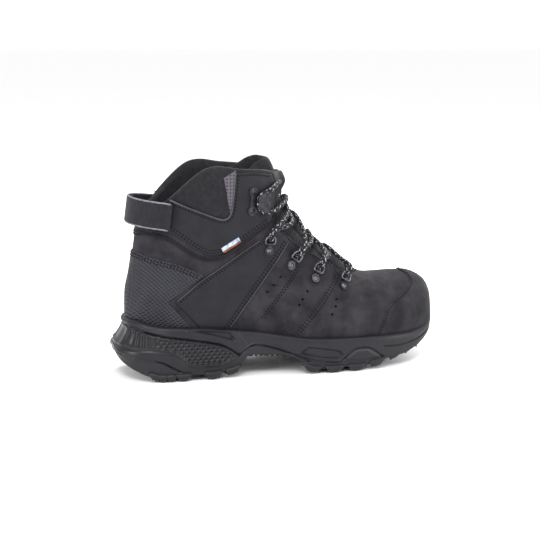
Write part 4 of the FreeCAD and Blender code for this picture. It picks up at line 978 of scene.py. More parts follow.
def side_relief(x, z):
    """How far the sole's wall stands out of its outline, in the side view."""
    place = np.stack([x, z], 1)
    relief = np.zeros(len(x))
    for line, depth, width in GROOVES_ON_SIDE:
        relief -= depth * np.exp(-(line_distance(place, catmull(line, 8)) / width) ** 2)
    for line, height, width in LIPS_ON_SIDE:
        relief += height * np.exp(-(line_distance(place, catmull(line, 8)) / width) ** 2)
    for polygon, depth in RECESSES:
        edge = line_distance(place, closed_line(polygon))
        relief -= depth * smoothstep(0.0, 1.3, np.where(inside_polygon(place, polygon), edge, 0))
    edge = line_distance(place, closed_line(BADGE_OUTLINE))
    relief += 0.5 * smoothstep(0.0, 1.0, np.where(inside_polygon(place, BADGE_OUTLINE), edge, 0))
    # the heel pod: set back, with rows of diamond dimples
    low, high = POD_LOW(x), POD_TOP(x)
    pod = smoothstep(1.5, 3.2, z - low) * smoothstep(1.5, 3.4, high - z) * smoothstep(-46, -52, x)
    fore = x + 160
    across = (z - low) / np.maximum(high - low, 1)
    a = np.abs(((fore + z * 0.8) / DIAMOND) % 2 - 1)
    b = np.abs(((fore - z * 0.8) / DIAMOND) % 2 - 1)
    dimples = 1 - 1.3 * np.minimum(np.maximum(a, b), 0.95)
    slots = np.sin(fore * 2 * math.pi / 5.2) * smoothstep(-112, -122, x)
    pattern = 1.9 * np.where(x < -121, slots * 0.5, dimples) * smoothstep(0.02, 0.2, across)
    relief -= pod * (0.8 + pattern)
    # the heel's ledge below the pod
    ledge = smoothstep(0.5, 2.0, low + 1.0 - z) * smoothstep(-0.5, 1.5, z - TREAD_TOP(x))
    relief += 1.2 * (ledge * smoothstep(-88, -98, x))
    return relief


WALL_ROWS, WALL_THICKNESS = 56, 3.0
# How far the heel's wall stands off its outline at each height.
HEEL_LEAN = Curve([(0, 1.0), (24, 1.6), (33, -1.6), (40, -6.2), (45, -8.6), (48, -9.2), (52, -9.0),
                   (57, -10.5)])


def make_wall():
    """The wall's rows of points, from the ground upwards, and its outward directions."""
    centre = OUTLINE
    tangent = unit(loop_tangent(centre))
    outward = np.stack([tangent[:, 1], -tangent[:, 0]], 1)
    if (outward * centre).sum() < 0:
        outward = -outward
    x = centre[:, 0]
    low = GROUND(x) + 2.6 + 3.4 * smoothstep(-112, -98, x) - 3.4 * smoothstep(92, 110, x)
    high = FEATHER(x)
    rows = []
    for v in [k / (WALL_ROWS - 1) for k in range(WALL_ROWS)]:
        z = low + (high - low) * v
        relief = side_relief(x, z)
        taper = -0.9 * smoothstep(0.0, 1.0, (high - z) / 5.0 * -1 + 1) - 0.6 * (1 - v) ** 2
        heel_round = np.where(x < -110, smoothstep(-110, -150, x), 0)
        back = heel_round * HEEL_LEAN(z)
        under = -heel_round * 2.0 * (1 - smoothstep(0.0, 0.25, v))
        edge = np.clip(1 - (high - z) / 2.2, 0, 1)
        rounding = -2.0 * (1 - np.sqrt(np.clip(1 - edge**2, 0, 1)))
        shift = relief * (1 - edge) + taper + back + under + rounding
        rows.append(np.concatenate([centre + outward * shift[:, None], z[:, None]], 1))
    top = rows[-1]
    for depth, drop in ((1.2, 0.15), (3.0, 0.5), (6.5, 3.5), (8.5, 9.0)):
        rows.append(np.concatenate([top[:, :2] - outward * depth, top[:, 2:] - drop], 1))
    return np.array(rows), outward


WALL, OUTWARD = make_wall()


def build_wall_part(name, keep, material, replaced, slot, extra=()):
    """The faces of the wall that a test of their side view picks, thickened, and other shapes."""
    rows, columns = WALL.shape[:2]
    faces = np.array(grid_faces(rows, columns, closed=True))
    points = WALL.reshape(-1, 3)
    middle = points[faces].mean(1)
    row = faces[:, 0] // columns
    verts, faces, used = used_only(points, faces[keep(middle[:, 0], middle[:, 2], row)])
    inner = verts.copy()
    inner[:, :2] -= OUTWARD[used % columns] * WALL_THICKNESS
    edges = dict.fromkeys((f[k], f[(k + 1) % 4]) for f in faces for k in range(4))
    rim = [e for e in edges if (e[1], e[0]) not in edges]
    count = len(verts)
    all_faces = [list(f) for f in faces] + [[v + count for v in f[::-1]] for f in faces]
    all_faces += [[b, a, a + count, b + count] for a, b in rim]
    verts, all_faces = joined([(np.concatenate([verts, inner]), all_faces), *extra])
    add_mesh(name, verts, all_faces, material, replaced=replaced, slot=slot)


BASE_ROWS, BASE_COLUMNS = 150, 33
BASE_LOW, BASE_HIGH = 4.9, 7.5   # over the ground line


def sole_base():
    """The underside between the lugs, as a slab."""
    xs = np.linspace(-152.5, 152, BASE_ROWS)
    shares = np.sin(np.linspace(-math.pi / 2, math.pi / 2, BASE_COLUMNS))
    lower, upper = [], []
    for x in xs:
        y0, y1 = -sole_width(x, -1) + 0.9, sole_width(x, 1) - 0.9
        y = (y0 + y1) / 2 + shares * (y1 - y0) / 2
        z = GROUND(x) + BASE_LOW + 0.25 * np.cos(y / 3.2)
        ribs = smoothstep(-46, -40, x) * smoothstep(10, 0, x)
        z = z + ribs * 1.3 * np.sin((x + 0.25 * np.abs(y)) * 2 * math.pi / 5.0)
        lower.append(np.stack([np.full_like(y, x), y, z], 1))
        upper.append(np.stack([np.full_like(y, x), y, np.full_like(y, GROUND(x) + BASE_HIGH)], 1))
    verts = np.array(lower + upper).reshape(-1, 3)
    return verts, two_skins(BASE_ROWS, BASE_COLUMNS, flip=True)


# Each row of lugs: where it starts and ends at the sole's edge, and its slant inwards.
LUGS = [(-127, -119.5, 0.0), (-118.5, -112, 0.1), (-111, -104.5, 0.15), (-103.5, -90.5, 0.2),
        (-77.5, -63, 0.14), (-58.5, -47, 0.14), (12, 28, -0.28), (33, 49.5, -0.28), (55, 71, -0.28),
        (76, 90.5, -0.28), (95.5, 106, -0.25), (111, 118.5, -0.2), (123, 129.5, -0.15)]
LUG_TOP, LUG_SLANT_FROM = 7.2, 46
# Each ring of a lug's wall: height over the ground, shift inwards, share of the ends' rounding.
LUG_PROFILE = [(LUG_TOP, -1.2, 0.0), (4.2, -1.1, 0.2), (2.3, -0.6, 0.7), (1.0, 0.3, 1.0),
               (0.3, 1.3, 0.9), (0.02, 2.8, 0.4)]


def lug(x0, x1, slant, side, y_in, y_out_share):
    """One lug: a block with leaning walls and a softened edge, as vertices and faces."""
    edge_x = lambda x, y: x - slant * (LUG_SLANT_FROM - abs(y))
    outer = lambda x: sole_width(np.array([np.clip(x, -150, 150)]), side)[0]
    corner = []
    y_far0, y_far1 = outer(x0) * y_out_share, outer(x1) * y_out_share
    steps = 7
    for t in np.linspace(0, 1, steps):
        y = y_in + (y_far0 - y_in) * t
        corner.append((edge_x(x0, y), y))
    for t in np.linspace(0, 1, 6)[1:-1]:
        x = x0 + (x1 - x0) * t
        corner.append((x, outer(x) * y_out_share))
    for t in np.linspace(1, 0, steps):
        y = y_in + (y_far1 - y_in) * t
        corner.append((edge_x(x1, y), y))
    loop = np.array(corner)
    loop[:, 1] = loop[:, 1] * side
    closed = resample(closed_line(loop), 1.6)[:-1]
    middle = closed.mean(0)
    tangent = unit(loop_tangent(closed))
    inside = np.stack([-tangent[:, 1], tangent[:, 0]], 1)
    if ((middle - closed) * inside).sum() < 0:
        inside = -inside
    verts = []
    ground = GROUND(np.clip(closed[:, 0], -156, 153))
    along = closed[:, 0] + slant * (LUG_SLANT_FROM - np.abs(closed[:, 1]))
    ends = np.abs((along - (x0 + x1) / 2) / ((x1 - x0) / 2)) ** 3
    round_off = 4.6 if x1 - x0 > 12 else 1.2
    for depth, shift, lift in LUG_PROFILE:
        xy = closed + inside * shift
        z = ground + depth + np.clip(ends, 0, 1.2) * lift * round_off
        verts.append(np.concatenate([xy, z[:, None]], 1))
    count = len(closed)
    verts = np.concatenate(verts)
    centres = [[*middle, GROUND(middle[0]) + up] for up in (0.05, LUG_TOP)]
    faces = grid_faces(len(LUG_PROFILE), count, closed=True)
    last = len(verts) - count
    faces += [[last + k, last + (k + 1) % count, len(verts)] for k in range(count)]
    faces += [[(k + 1) % count, k, len(verts) + 1] for k in range(count)]
    verts = np.concatenate([verts, centres])
    a, b, c = [verts[i] for i in faces[0][:3]]
    out = np.cross(b - a, c - a)
    if (out[:2] * (a[:2] - middle)).sum() < 0:
        faces = [f[::-1] for f in faces]
    return verts, faces


def all_lugs():
    """Two bands of lugs on each side, one where the sole is narrow."""
    for x0, x1, slant in LUGS:
        for side in (-1, 1):
            width = float(sole_width(np.array([(x0 + x1) / 2]), side)[0])
            bands = [(2.0, 0.97)]
            if width > 25:
                bands = [(2.6, 0.40), (width * 0.46, 1.0 if x0 < 90 else 0.94)]
            for y_in, share in bands:
                yield lug(x0, x1, slant, side, y_in, share)


def in_pod(x, z, row):
    return (x < -47) & (z < POD_TOP(x)) & (z > TREAD_TOP(x)) & (row < WALL_ROWS - 1)


def in_tread(x, z, row):
    return (z <= TREAD_TOP(x)) & (row < WALL_ROWS - 1)


def in_rest(x, z, row):
    return ~in_pod(x, z, row) & ~in_tread(x, z, row)


build_wall_part("sole_wall", in_rest, MIDSOLE, ("midsole",), "midsole_foam")
build_wall_part("heel_pod_skin", in_pod, POD, ("heel_pod",), "midsole_foam")
build_wall_part("tread", in_tread, OUTSOLE, ("outsole",), "outsole_rubber",
                [sole_base(), *all_lugs()])

# ---------------------------------------------------------------------------------------------
# Soft parts: collar, tongue, lining and footbed
# ---------------------------------------------------------------------------------------------
COLLAR_TOP = [(-125.6, 151), (-121, 152.5), (-113, 157.5), (-104, 165.5), (-92, 176.5),
              (-80, 185.5), (-71, 189.2), (-60, 190), (-45, 187.6), (-28, 186.4), (-16, 185.4),
              (-8, 183), (-2, 178.5), (1, 172)]
COLLAR_LOW = 106.0
COLLAR_OUTER, COLLAR_INNER, COLLAR_COLUMNS = -1.0, -8.8, 70   # offsets, and columns of a half
COVERED = Curve([(-135, 154), (-106, 158), (-92, 153), (-80, 148.5), (-64, 142.4), (-56, 142.4),
                 (-52, 150), (-50, 170), (-48.5, 182.5), (-14, 180.5), (-11, 168), (0, 160)])


def shared_out(line, count):
    """A number of places along a line of evenly stepped places."""
    share, steps = np.linspace(0, 1, count), np.linspace(0, 1, len(line))
    return np.stack([np.interp(share, steps, line[:, k]) for k in (0, 1)], 1)


def collar_lines(count):
    """Top and bottom places of the collar, from one front end round the heel to the other."""
    top = ring_turn(catmull(COLLAR_TOP, 10))
    top[0, 1] = 0
    top = resample(top, 1.0, surface(top))
    low = ring_turn(catmull([(-135, COLLAR_LOW), (-100, COLLAR_LOW), (-60, COLLAR_LOW), (-34, 110),
                             (-20, 122), (-12, 138), (-7.5, 154),
                             (-2.5, 165)], 10))
    low[0, 1] = 0
    low = resample(low, 1.0, surface(low))
    top, low = shared_out(top, count), shared_out(low, count)
    flip = lambda line: np.stack([line[:, 0], -line[:, 1]], 1)
    return np.concatenate([flip(top)[::-1], top[1:]]), np.concatenate([flip(low)[::-1], low[1:]])


def collar_mesh():
    """A closed pad: its outer face swells where no leather covers it, its top is a round roll."""
    top, low = collar_lines(COLLAR_COLUMNS)
    section = [(s, 1.0) for s in np.linspace(0, 0.94, 26)]
    roll = np.linspace(0.1, 0.9, 9) * math.pi
    section += [(0.94 + 0.06 * math.sin(a), math.cos(a)) for a in roll]
    section += [(s, -1.0) for s in np.linspace(0.94, 0, 26)]
    along = np.linspace(-1, 1, len(top))
    thin = np.sqrt(np.clip(1 - (np.clip((np.abs(along) - 0.955) / 0.045, 0, 1)) ** 2, 0.01, 1))
    middle, half = (COLLAR_OUTER + COLLAR_INNER) / 2, (COLLAR_OUTER - COLLAR_INNER) / 2
    rows = []
    for s, across in section:
        place = low + (top - low) * s
        point = surface(place)
        bare = np.clip(point[:, 2] - COVERED(point[:, 0]), 0, 20)
        swell = 1.9 * (1 - np.exp(-bare / 3.5)) * np.clip(across, 0, 1)
        lobe = np.exp(-((np.abs(along) - 0.945) / 0.045) ** 2) * smoothstep(0.35, 0.7, s)
        swell = swell + 5.0 * lobe * np.clip(across + 0.4, 0, 1.2)
        rows.append(surface(place, middle + half * across * thin + swell * thin))
    verts = np.array(rows)
    r, c = verts.shape[:2]
    faces = grid_faces(r, c)
    faces += [[c * (r - 1) + k, c * (r - 1) + k + 1, k + 1, k] for k in range(c - 1)]
    for column in (0, c - 1):
        faces += [[row * c + column for row in (k, k + 1, r - 2 - k, r - 1 - k)]
                  for k in range(r // 2 - 1)]
        faces.append([row * c + column for row in (r // 2 - 1, r // 2, r // 2 + 1)])
    return verts.reshape(-1, 3), faces


def fix_normals(piece):
    bpy.context.view_layer.objects.active = piece
    for other in bpy.context.selected_objects:
        other.select_set(False)
    piece.select_set(True)
    bpy.ops.object.mode_set(mode="EDIT")
    bpy.ops.mesh.select_all(action="SELECT")
    bpy.ops.mesh.normals_make_consistent(inside=False)
    bpy.ops.object.mode_set(mode="OBJECT")
    piece.select_set(False)


def coordinates(mesh):
    flat_values = np.empty(len(mesh.vertices) * 3)
    mesh.vertices.foreach_get("co", flat_values)
    return flat_values.reshape(-1, 3)


CLOTH_FRAMES = 20


def stuffed(piece, pressure, cap):
    """Padding: the piece is inflated as cloth, by at most cap metres, and made smooth."""
    fix_normals(piece)
    bpy.context.view_layer.objects.active = piece
    start = coordinates(piece.data)
    cloth = piece.modifiers.new("cloth", "CLOTH")
    settings = cloth.settings
    settings.use_pressure, settings.uniform_pressure_force = True, pressure
    settings.effector_weights.gravity = 0
    settings.tension_stiffness = settings.compression_stiffness = 12
    settings.bending_stiffness = 1.2
    scene = bpy.context.scene
    for frame_number in range(1, CLOTH_FRAMES + 1):
        scene.frame_set(frame_number)
    evaluated = piece.evaluated_get(bpy.context.evaluated_depsgraph_get())
    moved_to = coordinates(evaluated.data)
    piece.modifiers.remove(cloth)
    scene.frame_set(1)
    shift = moved_to - start
    length = np.linalg.norm(shift, axis=1, keepdims=True)
    shift *= np.minimum(1, cap / np.maximum(length, 1e-9))
    piece.data.vertices.foreach_set("co", (start + shift).ravel())
    piece.data.update()
    subdivision = piece.modifiers.new("subdivision", "SUBSURF")
    subdivision.levels = subdivision.render_levels = 1
    bpy.ops.object.modifier_apply(modifier=subdivision.name)
    piece.data.polygons.foreach_set("use_smooth", [True] * len(piece.data.polygons))


collar_verts, collar_faces = collar_mesh()
collar = add_mesh("collar_pad", collar_verts, collar_faces, COLLAR)
stuffed(collar, 4.0, 0.0009)
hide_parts("collar_padding_lateral", "collar_padding_medial",
            "collar_fabric_lateral", "collar_fabric_medial")


# Where the lace crosses the tongue's middle.
CROSSINGS = [(77, 88), (50, 108.5), (33, 124), (18, 143), (11, 157), (8, 168)]
CROSSING_RINGS = ring_turn(CROSSINGS)[:, 0]


def tongue_depth(turn):
    share = np.clip((np.abs(turn - math.pi) - 0.32) / 0.36, 0, 1)
    return 9.0 * share * share * (3 - 2 * share)


def tongue_mesh():
    """The padded tongue, from under the vamp to above the collar."""
    rows, columns, reach = 90, 40, 0.62
    low_ring = float(ring_turn([(79, 84)])[0, 0])
    low_turns = np.linspace(math.pi - reach, math.pi + reach, columns)
    low = np.stack([np.full(columns, low_ring), low_turns], 1)
    top_z = [(-9, 194.5), (-11.5, 195), (-16, 193.2), (-24, 188.5), (-32, 184), (-40, 180)]
    half = ring_turn(catmull(top_z, 8))
    half[0, 1] = math.pi
    mirrored = half[::-1].copy()
    mirrored[:, 1] = 2 * math.pi - mirrored[:, 1]
    top = np.concatenate([half[::-1], mirrored[::-1][1:]])
    top = resample(top, 1.0, surface(top))
    top = shared_out(top, columns)
    ring_start, ring_end = low[:, 0], top[:, 0]
    outer, inner = [], []
    for t in np.linspace(0, 1, rows):
        ring = ring_start + (ring_end - ring_start) * t
        turn = low[:, 1] + (top[:, 1] - low[:, 1]) * np.clip(t * 1.25, 0, 1)
        place = np.stack([ring, turn], 1)
        depth = tongue_depth(turn)
        # it swells between the lace's crossings, and rolls forward at its top
        pressed = np.exp(-((ring[:, None] - CROSSING_RINGS) / 0.22) ** 2).max(1)
        middle = np.exp(-((turn - math.pi) / 0.34) ** 2)
        rise = middle * smoothstep(0.02, 0.1, t) * (2.6 + 4.2 * (1 - pressed))
        roll = smoothstep(0.86, 0.96, t)
        rise = rise * (1 - roll) + 4.0 * roll
        rounding = math.sqrt(max(0.02, 1 - max(0.0, (t - 0.91) / 0.09) ** 2))
        rounding *= min(1.0, 0.3 + t * 12)
        centre = -4.6 - depth + rise - 2.4 - 1.6 * roll
        half = (2.4 + 1.8 * roll) * rounding
        outer.append(surface(place, centre + half))
        inner.append(surface(place, centre - half))
    return np.array(outer + inner).reshape(-1, 3), two_skins(rows, columns)


tongue = add_mesh("tongue_pad", *tongue_mesh(), TONGUE)
stuffed(tongue, 3.0, 0.0014)
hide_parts("tongue")


def sheet_of(name, places_grid, outer, inner, material, replaced, slot):
    """A closed skin over a grid of places, between two offsets."""
    rows, columns = places_grid.shape[:2]
    line = places_grid.reshape(-1, 2)
    verts = np.concatenate([surface(line, outer), surface(line, inner)])
    faces = two_skins(rows, columns)
    fix_normals(add_mesh(name, verts, faces, material, replaced=replaced, slot=slot))


ANKLE_REACH, TOE_REACH = 2.35, 1.05   # turns either way of the heel's and the toe's middle
ring_grid = np.linspace(0.08, 1, 34)[:, None]
turn_grid = np.linspace(-ANKLE_REACH, ANKLE_REACH, 120)[None, :]
top_ring = 5.3 + 0.9 * smoothstep(1.0, 2.3, np.abs(turn_grid))
lining_grid = np.stack(np.broadcast_arrays(ring_grid * top_ring, turn_grid), -1)
sheet_of("ankle_lining", lining_grid, -4.6, -6.0, LINING,
         ("quarter_lining_lateral", "quarter_lining_medial"), "lining_fabric")
turn_grid = np.linspace(math.pi - TOE_REACH, math.pi + TOE_REACH, 60)[None, :]
front_grid = np.stack(np.broadcast_arrays(0.08 + ring_grid * 8.2, turn_grid), -1)
sheet_of("toe_lining", front_grid, -4.6, -5.8, LINING, ("vamp_lining",), "lining_fabric")

FLOOR = Curve([(-160, 38), (-139.5, 38), (-100, 36.2), (-60, 34.1), (-20, 31), (20, 27.6),
               (60, 25.4), (85, 25), (105, 25), (125, 26.2), (147, 28), (165, 29)])


FOOTBED_SIDES = 120
# Each ring of the footbed: share of its outline and height over the floor.
FOOTBED_PROFILE = [(1.0, 3.6), (1.0, 8.0), (0.985, 8.9), (0.95, 8.7), (0.88, 7.9), (0.75, 7.3),
                   (0.55, 7.0), (0.35, 7.0), (0.15, 7.0), (0.02, 7.0)]


def footbed_mesh():
    turns = np.linspace(0, 2 * math.pi, FOOTBED_SIDES, endpoint=False)
    rim = surface(np.stack([np.full(FOOTBED_SIDES, 0.15), turns], 1), -7.2)[:, :2]
    centre = np.array([-5.0, 0.0])
    rows = []
    for share, up in FOOTBED_PROFILE:
        xy = centre + (rim - centre) * share
        lift = up + 3.0 * smoothstep(-60, -125, xy[:, 0]) * smoothstep(0.55, 1.0, share) * (up > 4)
        rows.append(np.concatenate([xy, (FLOOR(xy[:, 0]) + lift)[:, None]], 1))
    return np.array(rows).reshape(-1, 3), tube_faces(len(rows), FOOTBED_SIDES)


footbed = add_mesh("footbed_pad", *footbed_mesh(), LINING)
fix_normals(footbed)
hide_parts("footbed")

# ---------------------------------------------------------------------------------------------
# Hardware: the CAD pieces, with their finishes
# ---------------------------------------------------------------------------------------------
FINISHES = {"steel_toe_cap": STEEL, "shank": STEEL, "puncture_plate": STEEL,
            "toe_cap_trim": OUTSOLE, "insole_board": BOARD, "heel_counter": BOARD,
            "sole_badge_lateral": BADGE, "sole_badge_medial": BADGE,
            "eyelet_rivets": RIVET, "hook_rivets": GUNMETAL, "aglets": AGLET}
for node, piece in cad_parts.items():
    finish = FINISHES.get(node)
    if node.startswith(("bracket", "lace_hook")):
        finish = GUNMETAL
    if node.startswith("d_ring"):
        finish = RING_METAL
    if finish:
        piece.data.materials.clear()
        piece.data.materials.append(finish)

# ---------------------------------------------------------------------------------------------
# Lace: a route of points past the rings, the hook and the crossings, made one smooth line, then
# braided
# ---------------------------------------------------------------------------------------------
EYELETS = [((-19, 113), (-18, 124)), ((1, 99), (7, 107)), ((24, 85), (29, 94)),
           ((52, 75), (56, 84))]
HOOK = ((-34, 150), (-33, 166))
CROSSING_OVER, CROSSING_UNDER = 4.0, 0.1
ROUND_RING = [(12.5, 0.2), (3.7, -0.6), (3.7, 6.6), (12.5, 6.9)]
ROUND_HOOK = [(15, -11, 4.4), (4.3, -5.8, 3.4), (4.3, 5.8, 3.4), (15, 11, 5.0)]
TUCKED = [((-3, 161), 1.4), ((-13, 157), -6.2), ((-18, 147), -6.4), ((-17, 136), -6.0)]


def surface_frame(side, start, end, share, height):
    """Origin and three axes on the upper: Y from start to end, Z outwards."""
    def point(xz, offset=0.0):
        return surface(ring_turn([xz], side), offset)[0]

    xz = np.array(start) + (np.array(end) - np.array(start)) * share
    origin, outwards = point(xz), unit(point(xz, 1.0) - point(xz))
    along = point(end) - point(start)
    along = unit(along - outwards * (along @ outwards))
    across = np.cross(along, outwards)
    return origin + outwards * height, np.stack([across, along, outwards])


def at_frame(placement, x, y, z):
    return placement[0] + np.array([x, y, z]) @ placement[1]


EYELET_HEIGHT = 3.2   # of a ring's bore over the form


def half_lace(side, crossing_offset):
    """The route's points from the lowest crossing up through a side's first ring to the tongue."""
    crossings = [(ring, math.pi) for ring in CROSSING_RINGS]

    def spot(place, offset):
        return surface(np.array([place]), offset)[0]

    def place_at(xz, to_side):
        ring, turn = ring_turn([xz])[0]
        return ring, turn if to_side < 0 else 2 * math.pi - turn

    def mix(a, b, share):
        return (a[0] + (b[0] - a[0]) * share, a[1] + (b[1] - a[1]) * share)

    points = [spot(crossings[0], 0.4)]
    last = crossings[0]
    for step, index in enumerate((3, 2, 1, 0)):
        place = place_at(EYELETS[index][1], side)
        points.append(spot(mix(last, place, 0.5), 3.0))
        placement = surface_frame(side, *EYELETS[index], 0.62, EYELET_HEIGHT)
        points += [at_frame(placement, 0, y, z) for y, z in ROUND_RING]
        last = crossings[step + 1]
        points.append(spot(mix(place, last, 0.55), 4.0))
        points.append(spot(last, crossing_offset))
        side = -side
    place = place_at((-14, 152), side)
    points.append(spot(mix(last, place, 0.5), 5.0))
    placement = surface_frame(side, *HOOK, 0.5, 1.5)
    points += [at_frame(placement, -side * x, y, z) for x, y, z in ROUND_HOOK]
    points.append(spot(place_at((-6, 173), side), 3.2))
    points.append(spot(crossings[5], crossing_offset))
    return points + [spot(place_at(xz, -side), offset) for xz, offset in TUCKED]


def smooth_route(points):
    """Points along the quadratic NURBS that a route's points control, in millimetres."""
    data = bpy.data.curves.new("lace_route", "CURVE")
    data.dimensions = "3D"
    data.resolution_u = 16
    spline = data.splines.new("NURBS")
    spline.points.add(len(points) - 1)
    for point, place in zip(spline.points, points):
        point.co = (*(np.array(place) * MM), 1)
    spline.order_u = 3
    spline.use_endpoint_u = True
    route = bpy.data.objects.new("lace_route", data)
    bpy.context.scene.collection.objects.link(route)
    bpy.context.view_layer.update()
    evaluated = route.evaluated_get(bpy.context.evaluated_depsgraph_get())
    mesh = bpy.data.meshes.new_from_object(evaluated)
    line = coordinates(mesh) / MM
    bpy.data.objects.remove(route)
    bpy.data.meshes.remove(mesh)
    return line


lace_points = half_lace(-1, CROSSING_OVER)[::-1] + half_lace(1, CROSSING_UNDER)[1:]
LACE_STEP, LACE_SIDES = 0.42, 22
LACE_RADIUS, BRAID_HEIGHT = 1.9, 0.16
BRAID = 3.4   # millimetres along the lace for one turn of the braid's diamonds
lace_line = resample(smooth_route(lace_points), LACE_STEP)
RING_CENTRES = [np.mean(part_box(node), axis=0) / MM
                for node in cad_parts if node.startswith("d_ring")]
pinch = np.zeros(len(lace_line))
for ring_centre in RING_CENTRES:
    pinch = np.maximum(pinch, smoothstep(9.0, 5.0, np.linalg.norm(lace_line - ring_centre, axis=1)))


def braid_radius(number, angle):
    s = number * LACE_STEP * 2 * math.pi / BRAID
    a = np.sin(angle * 4 + s) * np.sin(angle * 4 - s)
    return (LACE_RADIUS + BRAID_HEIGHT * np.abs(a) ** 0.6) * (1 - 0.19 * pinch[:, None])


LACE = Shader("lace_cord", (0.008, 0.008, 0.009), 0.8, Sheen_Weight=0.05, Specular_IOR_Level=0.15)
fleck_node = LACE.node("ShaderNodeAttribute")
fleck_node.attribute_name = "fleck"
LACE.put(LACE.shader, "Base Color", LACE.ramp(
    fleck_node.outputs["Fac"], (0.45, (0.0075, 0.0075, 0.0085)), (0.62, (0.40, 0.40, 0.44))))
LACE.bump(LACE.noise(1600, 2.0), 0.00008, 0.6)
lace = tube_mesh("lace_braid", lace_line, braid_radius, LACE.material, "lace_cord", LACE_SIDES)
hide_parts("lace")
# two pale threads wind through the braid and show as flecks
along, angle = np.meshgrid(np.arange(len(lace_line)) * LACE_STEP,
                           np.linspace(0, 2 * math.pi, LACE_SIDES, endpoint=False), indexing="ij")
wobble = 0.45 * np.abs(((along / 8.0) % 1.0) * 4 - 2) - 0.45
tracer = np.cos(3 * (angle - wobble)) > 0.88
second = np.cos(3 * (angle + wobble + 0.9)) > 0.96
flecks = np.where(tracer & (np.sin(along * 2 * math.pi / 4.4 + angle * 2) > -0.1), 1.0, 0.0)
flecks = np.maximum(flecks, np.where(second & (np.sin(along * 2 * math.pi / 6.5) > 0.35), 0.9, 0.0))
lace.data.attributes.new("fleck", "FLOAT", "POINT").data.foreach_set("value", flecks.ravel())

# ---------------------------------------------------------------------------------------------
# Pull loop, tag
# ---------------------------------------------------------------------------------------------
LOOP_PIVOT, LOOP_TILT, LOOP_WIDTH = (-109.0, 146.6), math.radians(8), 22.6
# The inside of the loop's band from above: back and across from its pivot, and its direction.
LOOP_INNER = [(-2.5, -32.5, 0.0), (-11, -30.6, 0.19), (-21.5, -25, 0.63), (-29.5, -14, 1.26),
              (-32, 0, 1.57)]


def loop_frames():
    """The middle line of the loop's band, and its outward direction, about its pivot."""
    half = [(2.6, -37.6), (0.6, -37.2)]
    half += [(x * 0.86 - 1.1 * math.sin(a), y - 1.1 * math.cos(a)) for x, y, a in LOOP_INNER]
    line = resample(catmull(half + [(x, -y) for x, y in half[::-1][1:]], 16), 1.1)
    tangent = unit(np.gradient(line, axis=0))
    return line, np.stack([-tangent[:, 1], tangent[:, 0]], 1)


def loop_band():
    line, outward = loop_frames()
    if (outward[len(line) // 2] @ np.array([-1.0, 0.0])) < 0:
        outward = -outward
    half, thick = LOOP_WIDTH / 2, 1.05
    section = []
    for v in np.linspace(-1, 1, 21):
        w = half * v
        ridge = 0.35 * math.exp(-((abs(v) - 0.93) / 0.05) ** 2)
        section.append((w, thick * math.sqrt(max(0.0, 1 - abs(v) ** 14)) + ridge))
    section += [(w, -d) for w, d in section[::-1]]
    rows = []
    cos, sin = math.cos(LOOP_TILT), math.sin(LOOP_TILT)
    for (x, y), (ox, oy) in zip(line, outward):
        row = []
        for w, d in section:
            px, py, pz = x + ox * d, y + oy * d, w
            row.append((LOOP_PIVOT[0] + px * cos + pz * sin, py,
                        LOOP_PIVOT[1] - px * sin + pz * cos))
        rows.append(row)
    return np.array(rows), tube_faces(len(rows), len(section))


loop_verts, loop_faces = loop_band()
band = add_mesh("pull_loop_band", loop_verts.reshape(-1, 3), loop_faces, WEBBING, body=None)
fix_normals(band)
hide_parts("pull_loop", "loop_tab_lateral", "loop_tab_medial")
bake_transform(band)
for label, column in (("upper", 20), ("lower", 0)):
    edge_line = (loop_verts[:, column] + loop_verts[:, loop_verts.shape[1] - 1 - column]) / 2
    edge = tube_mesh(f"pull_loop_edge_{label}", edge_line[1:-1], 0.8, EDGING, "webbing", 8,
                     body=None)
    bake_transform(edge)

TAG_START, TAG_END = np.array([-60.0, 114.0]), np.array([-44.2, 123.4])
TAG_UP = np.array([-0.51, 0.86])


def tag_strip(name, low, high, material, **kinds):
    corners = [TAG_START + TAG_UP * low, TAG_END + TAG_UP * low,
               TAG_END + TAG_UP * high, TAG_START + TAG_UP * high]
    outline = trace(list(zip(corners, corners[1:] + corners[:1])), step=0.6)
    panel(name, outline, material, edge=0.4, rows=(0.12, 0.35), step=1.2, slot="tag_fabric",
          **kinds)


tag_strip("woven_tag_body", 0.5, 4.2, TAG, base=1.0, top=2.2, replaced=("woven_tag",))
tag_strip("woven_tag_stripe", -1.2, 0.5, TAG_STRIPE, base=0.9, top=2.1)

add_mesh("stitching", np.array(threads.verts), threads.faces, THREAD, slot="nubuck")

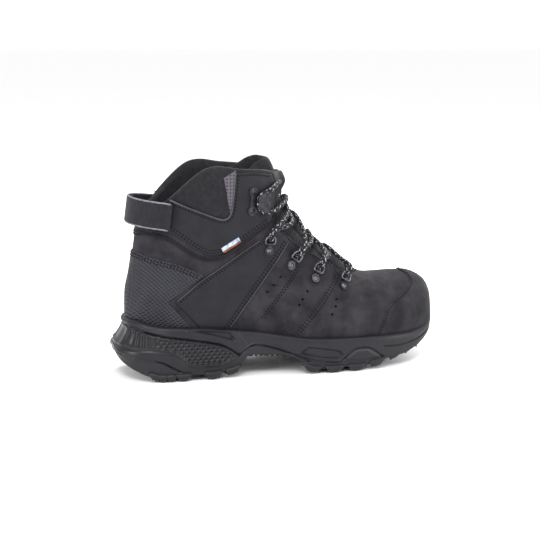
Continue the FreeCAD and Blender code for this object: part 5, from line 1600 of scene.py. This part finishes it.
# ---------------------------------------------------------------------------------------------
# Stage: floor, light and camera
# ---------------------------------------------------------------------------------------------
def plain_floor():
    mesh = bpy.data.meshes.new("floor")
    half = 40.0   # metres
    corners = [(-half, -half, 0), (half, -half, 0), (half, half, 0), (-half, half, 0)]
    mesh.from_pydata(corners, [], [(0, 1, 2, 3)])
    floor = bpy.data.objects.new("floor", mesh)
    bpy.context.scene.collection.objects.link(floor)
    made = Shader("floor", (0.96, 0.96, 0.96), 0.9, Specular_IOR_Level=0.1)
    mesh.materials.append(made.material)


def area_light(name, place, target, size_m, power):
    data = bpy.data.lights.new(name, "AREA")
    data.shape, data.size, data.energy = "DISK", size_m, power
    lamp = bpy.data.objects.new(name, data)
    lamp.location = place
    lamp.rotation_mode = "QUATERNION"
    lamp.rotation_quaternion = (Vector(target) - Vector(place)).to_track_quat("-Z", "Y")
    bpy.context.scene.collection.objects.link(lamp)


plain_floor()
for light in (("key", (-0.5, -1.4, 1.5), (0, 0, 0.08), 0.7, 22),
              ("top", (0.2, 0.2, 1.8), (0, 0, 0.05), 1.0, 14),
              ("heel_side", (-1.5, -0.75, 0.55), (-0.05, 0, 0.08), 0.7, 13),
              ("rim", (0.9, 1.0, 0.9), (0, 0, 0.1), 0.8, 14),
              ("fill", (1.2, -0.9, 0.5), (0, 0, 0.08), 0.8, 10)):
    area_light(*light)
world = bpy.data.worlds.new("world")
world.use_nodes = True
background = world.node_tree.nodes["Background"]
background.inputs["Color"].default_value = (1, 1, 1, 1)
background.inputs["Strength"].default_value = 1.02
bpy.context.scene.world = world
bpy.context.scene.view_settings.view_transform = "Standard"

camera_data = bpy.data.cameras.new("camera")
camera_data.lens, camera_data.sensor_width = 78.4, 36
camera_data.clip_start, camera_data.clip_end = 0.02, 50
camera = bpy.data.objects.new("camera", camera_data)
TARGET = Vector((-0.0057, 0, 0.088))
AZIMUTH, ELEVATION, DISTANCE = math.radians(-17), math.radians(11), 1.088
camera.location = TARGET + DISTANCE * Vector((math.sin(AZIMUTH) * math.cos(ELEVATION),
                                              -math.cos(AZIMUTH) * math.cos(ELEVATION),
                                              math.sin(ELEVATION)))
camera.rotation_mode = "QUATERNION"
camera.rotation_quaternion = (TARGET - camera.location).to_track_quat("-Z", "Y")
bpy.context.scene.collection.objects.link(camera)
bpy.context.scene.camera = camera
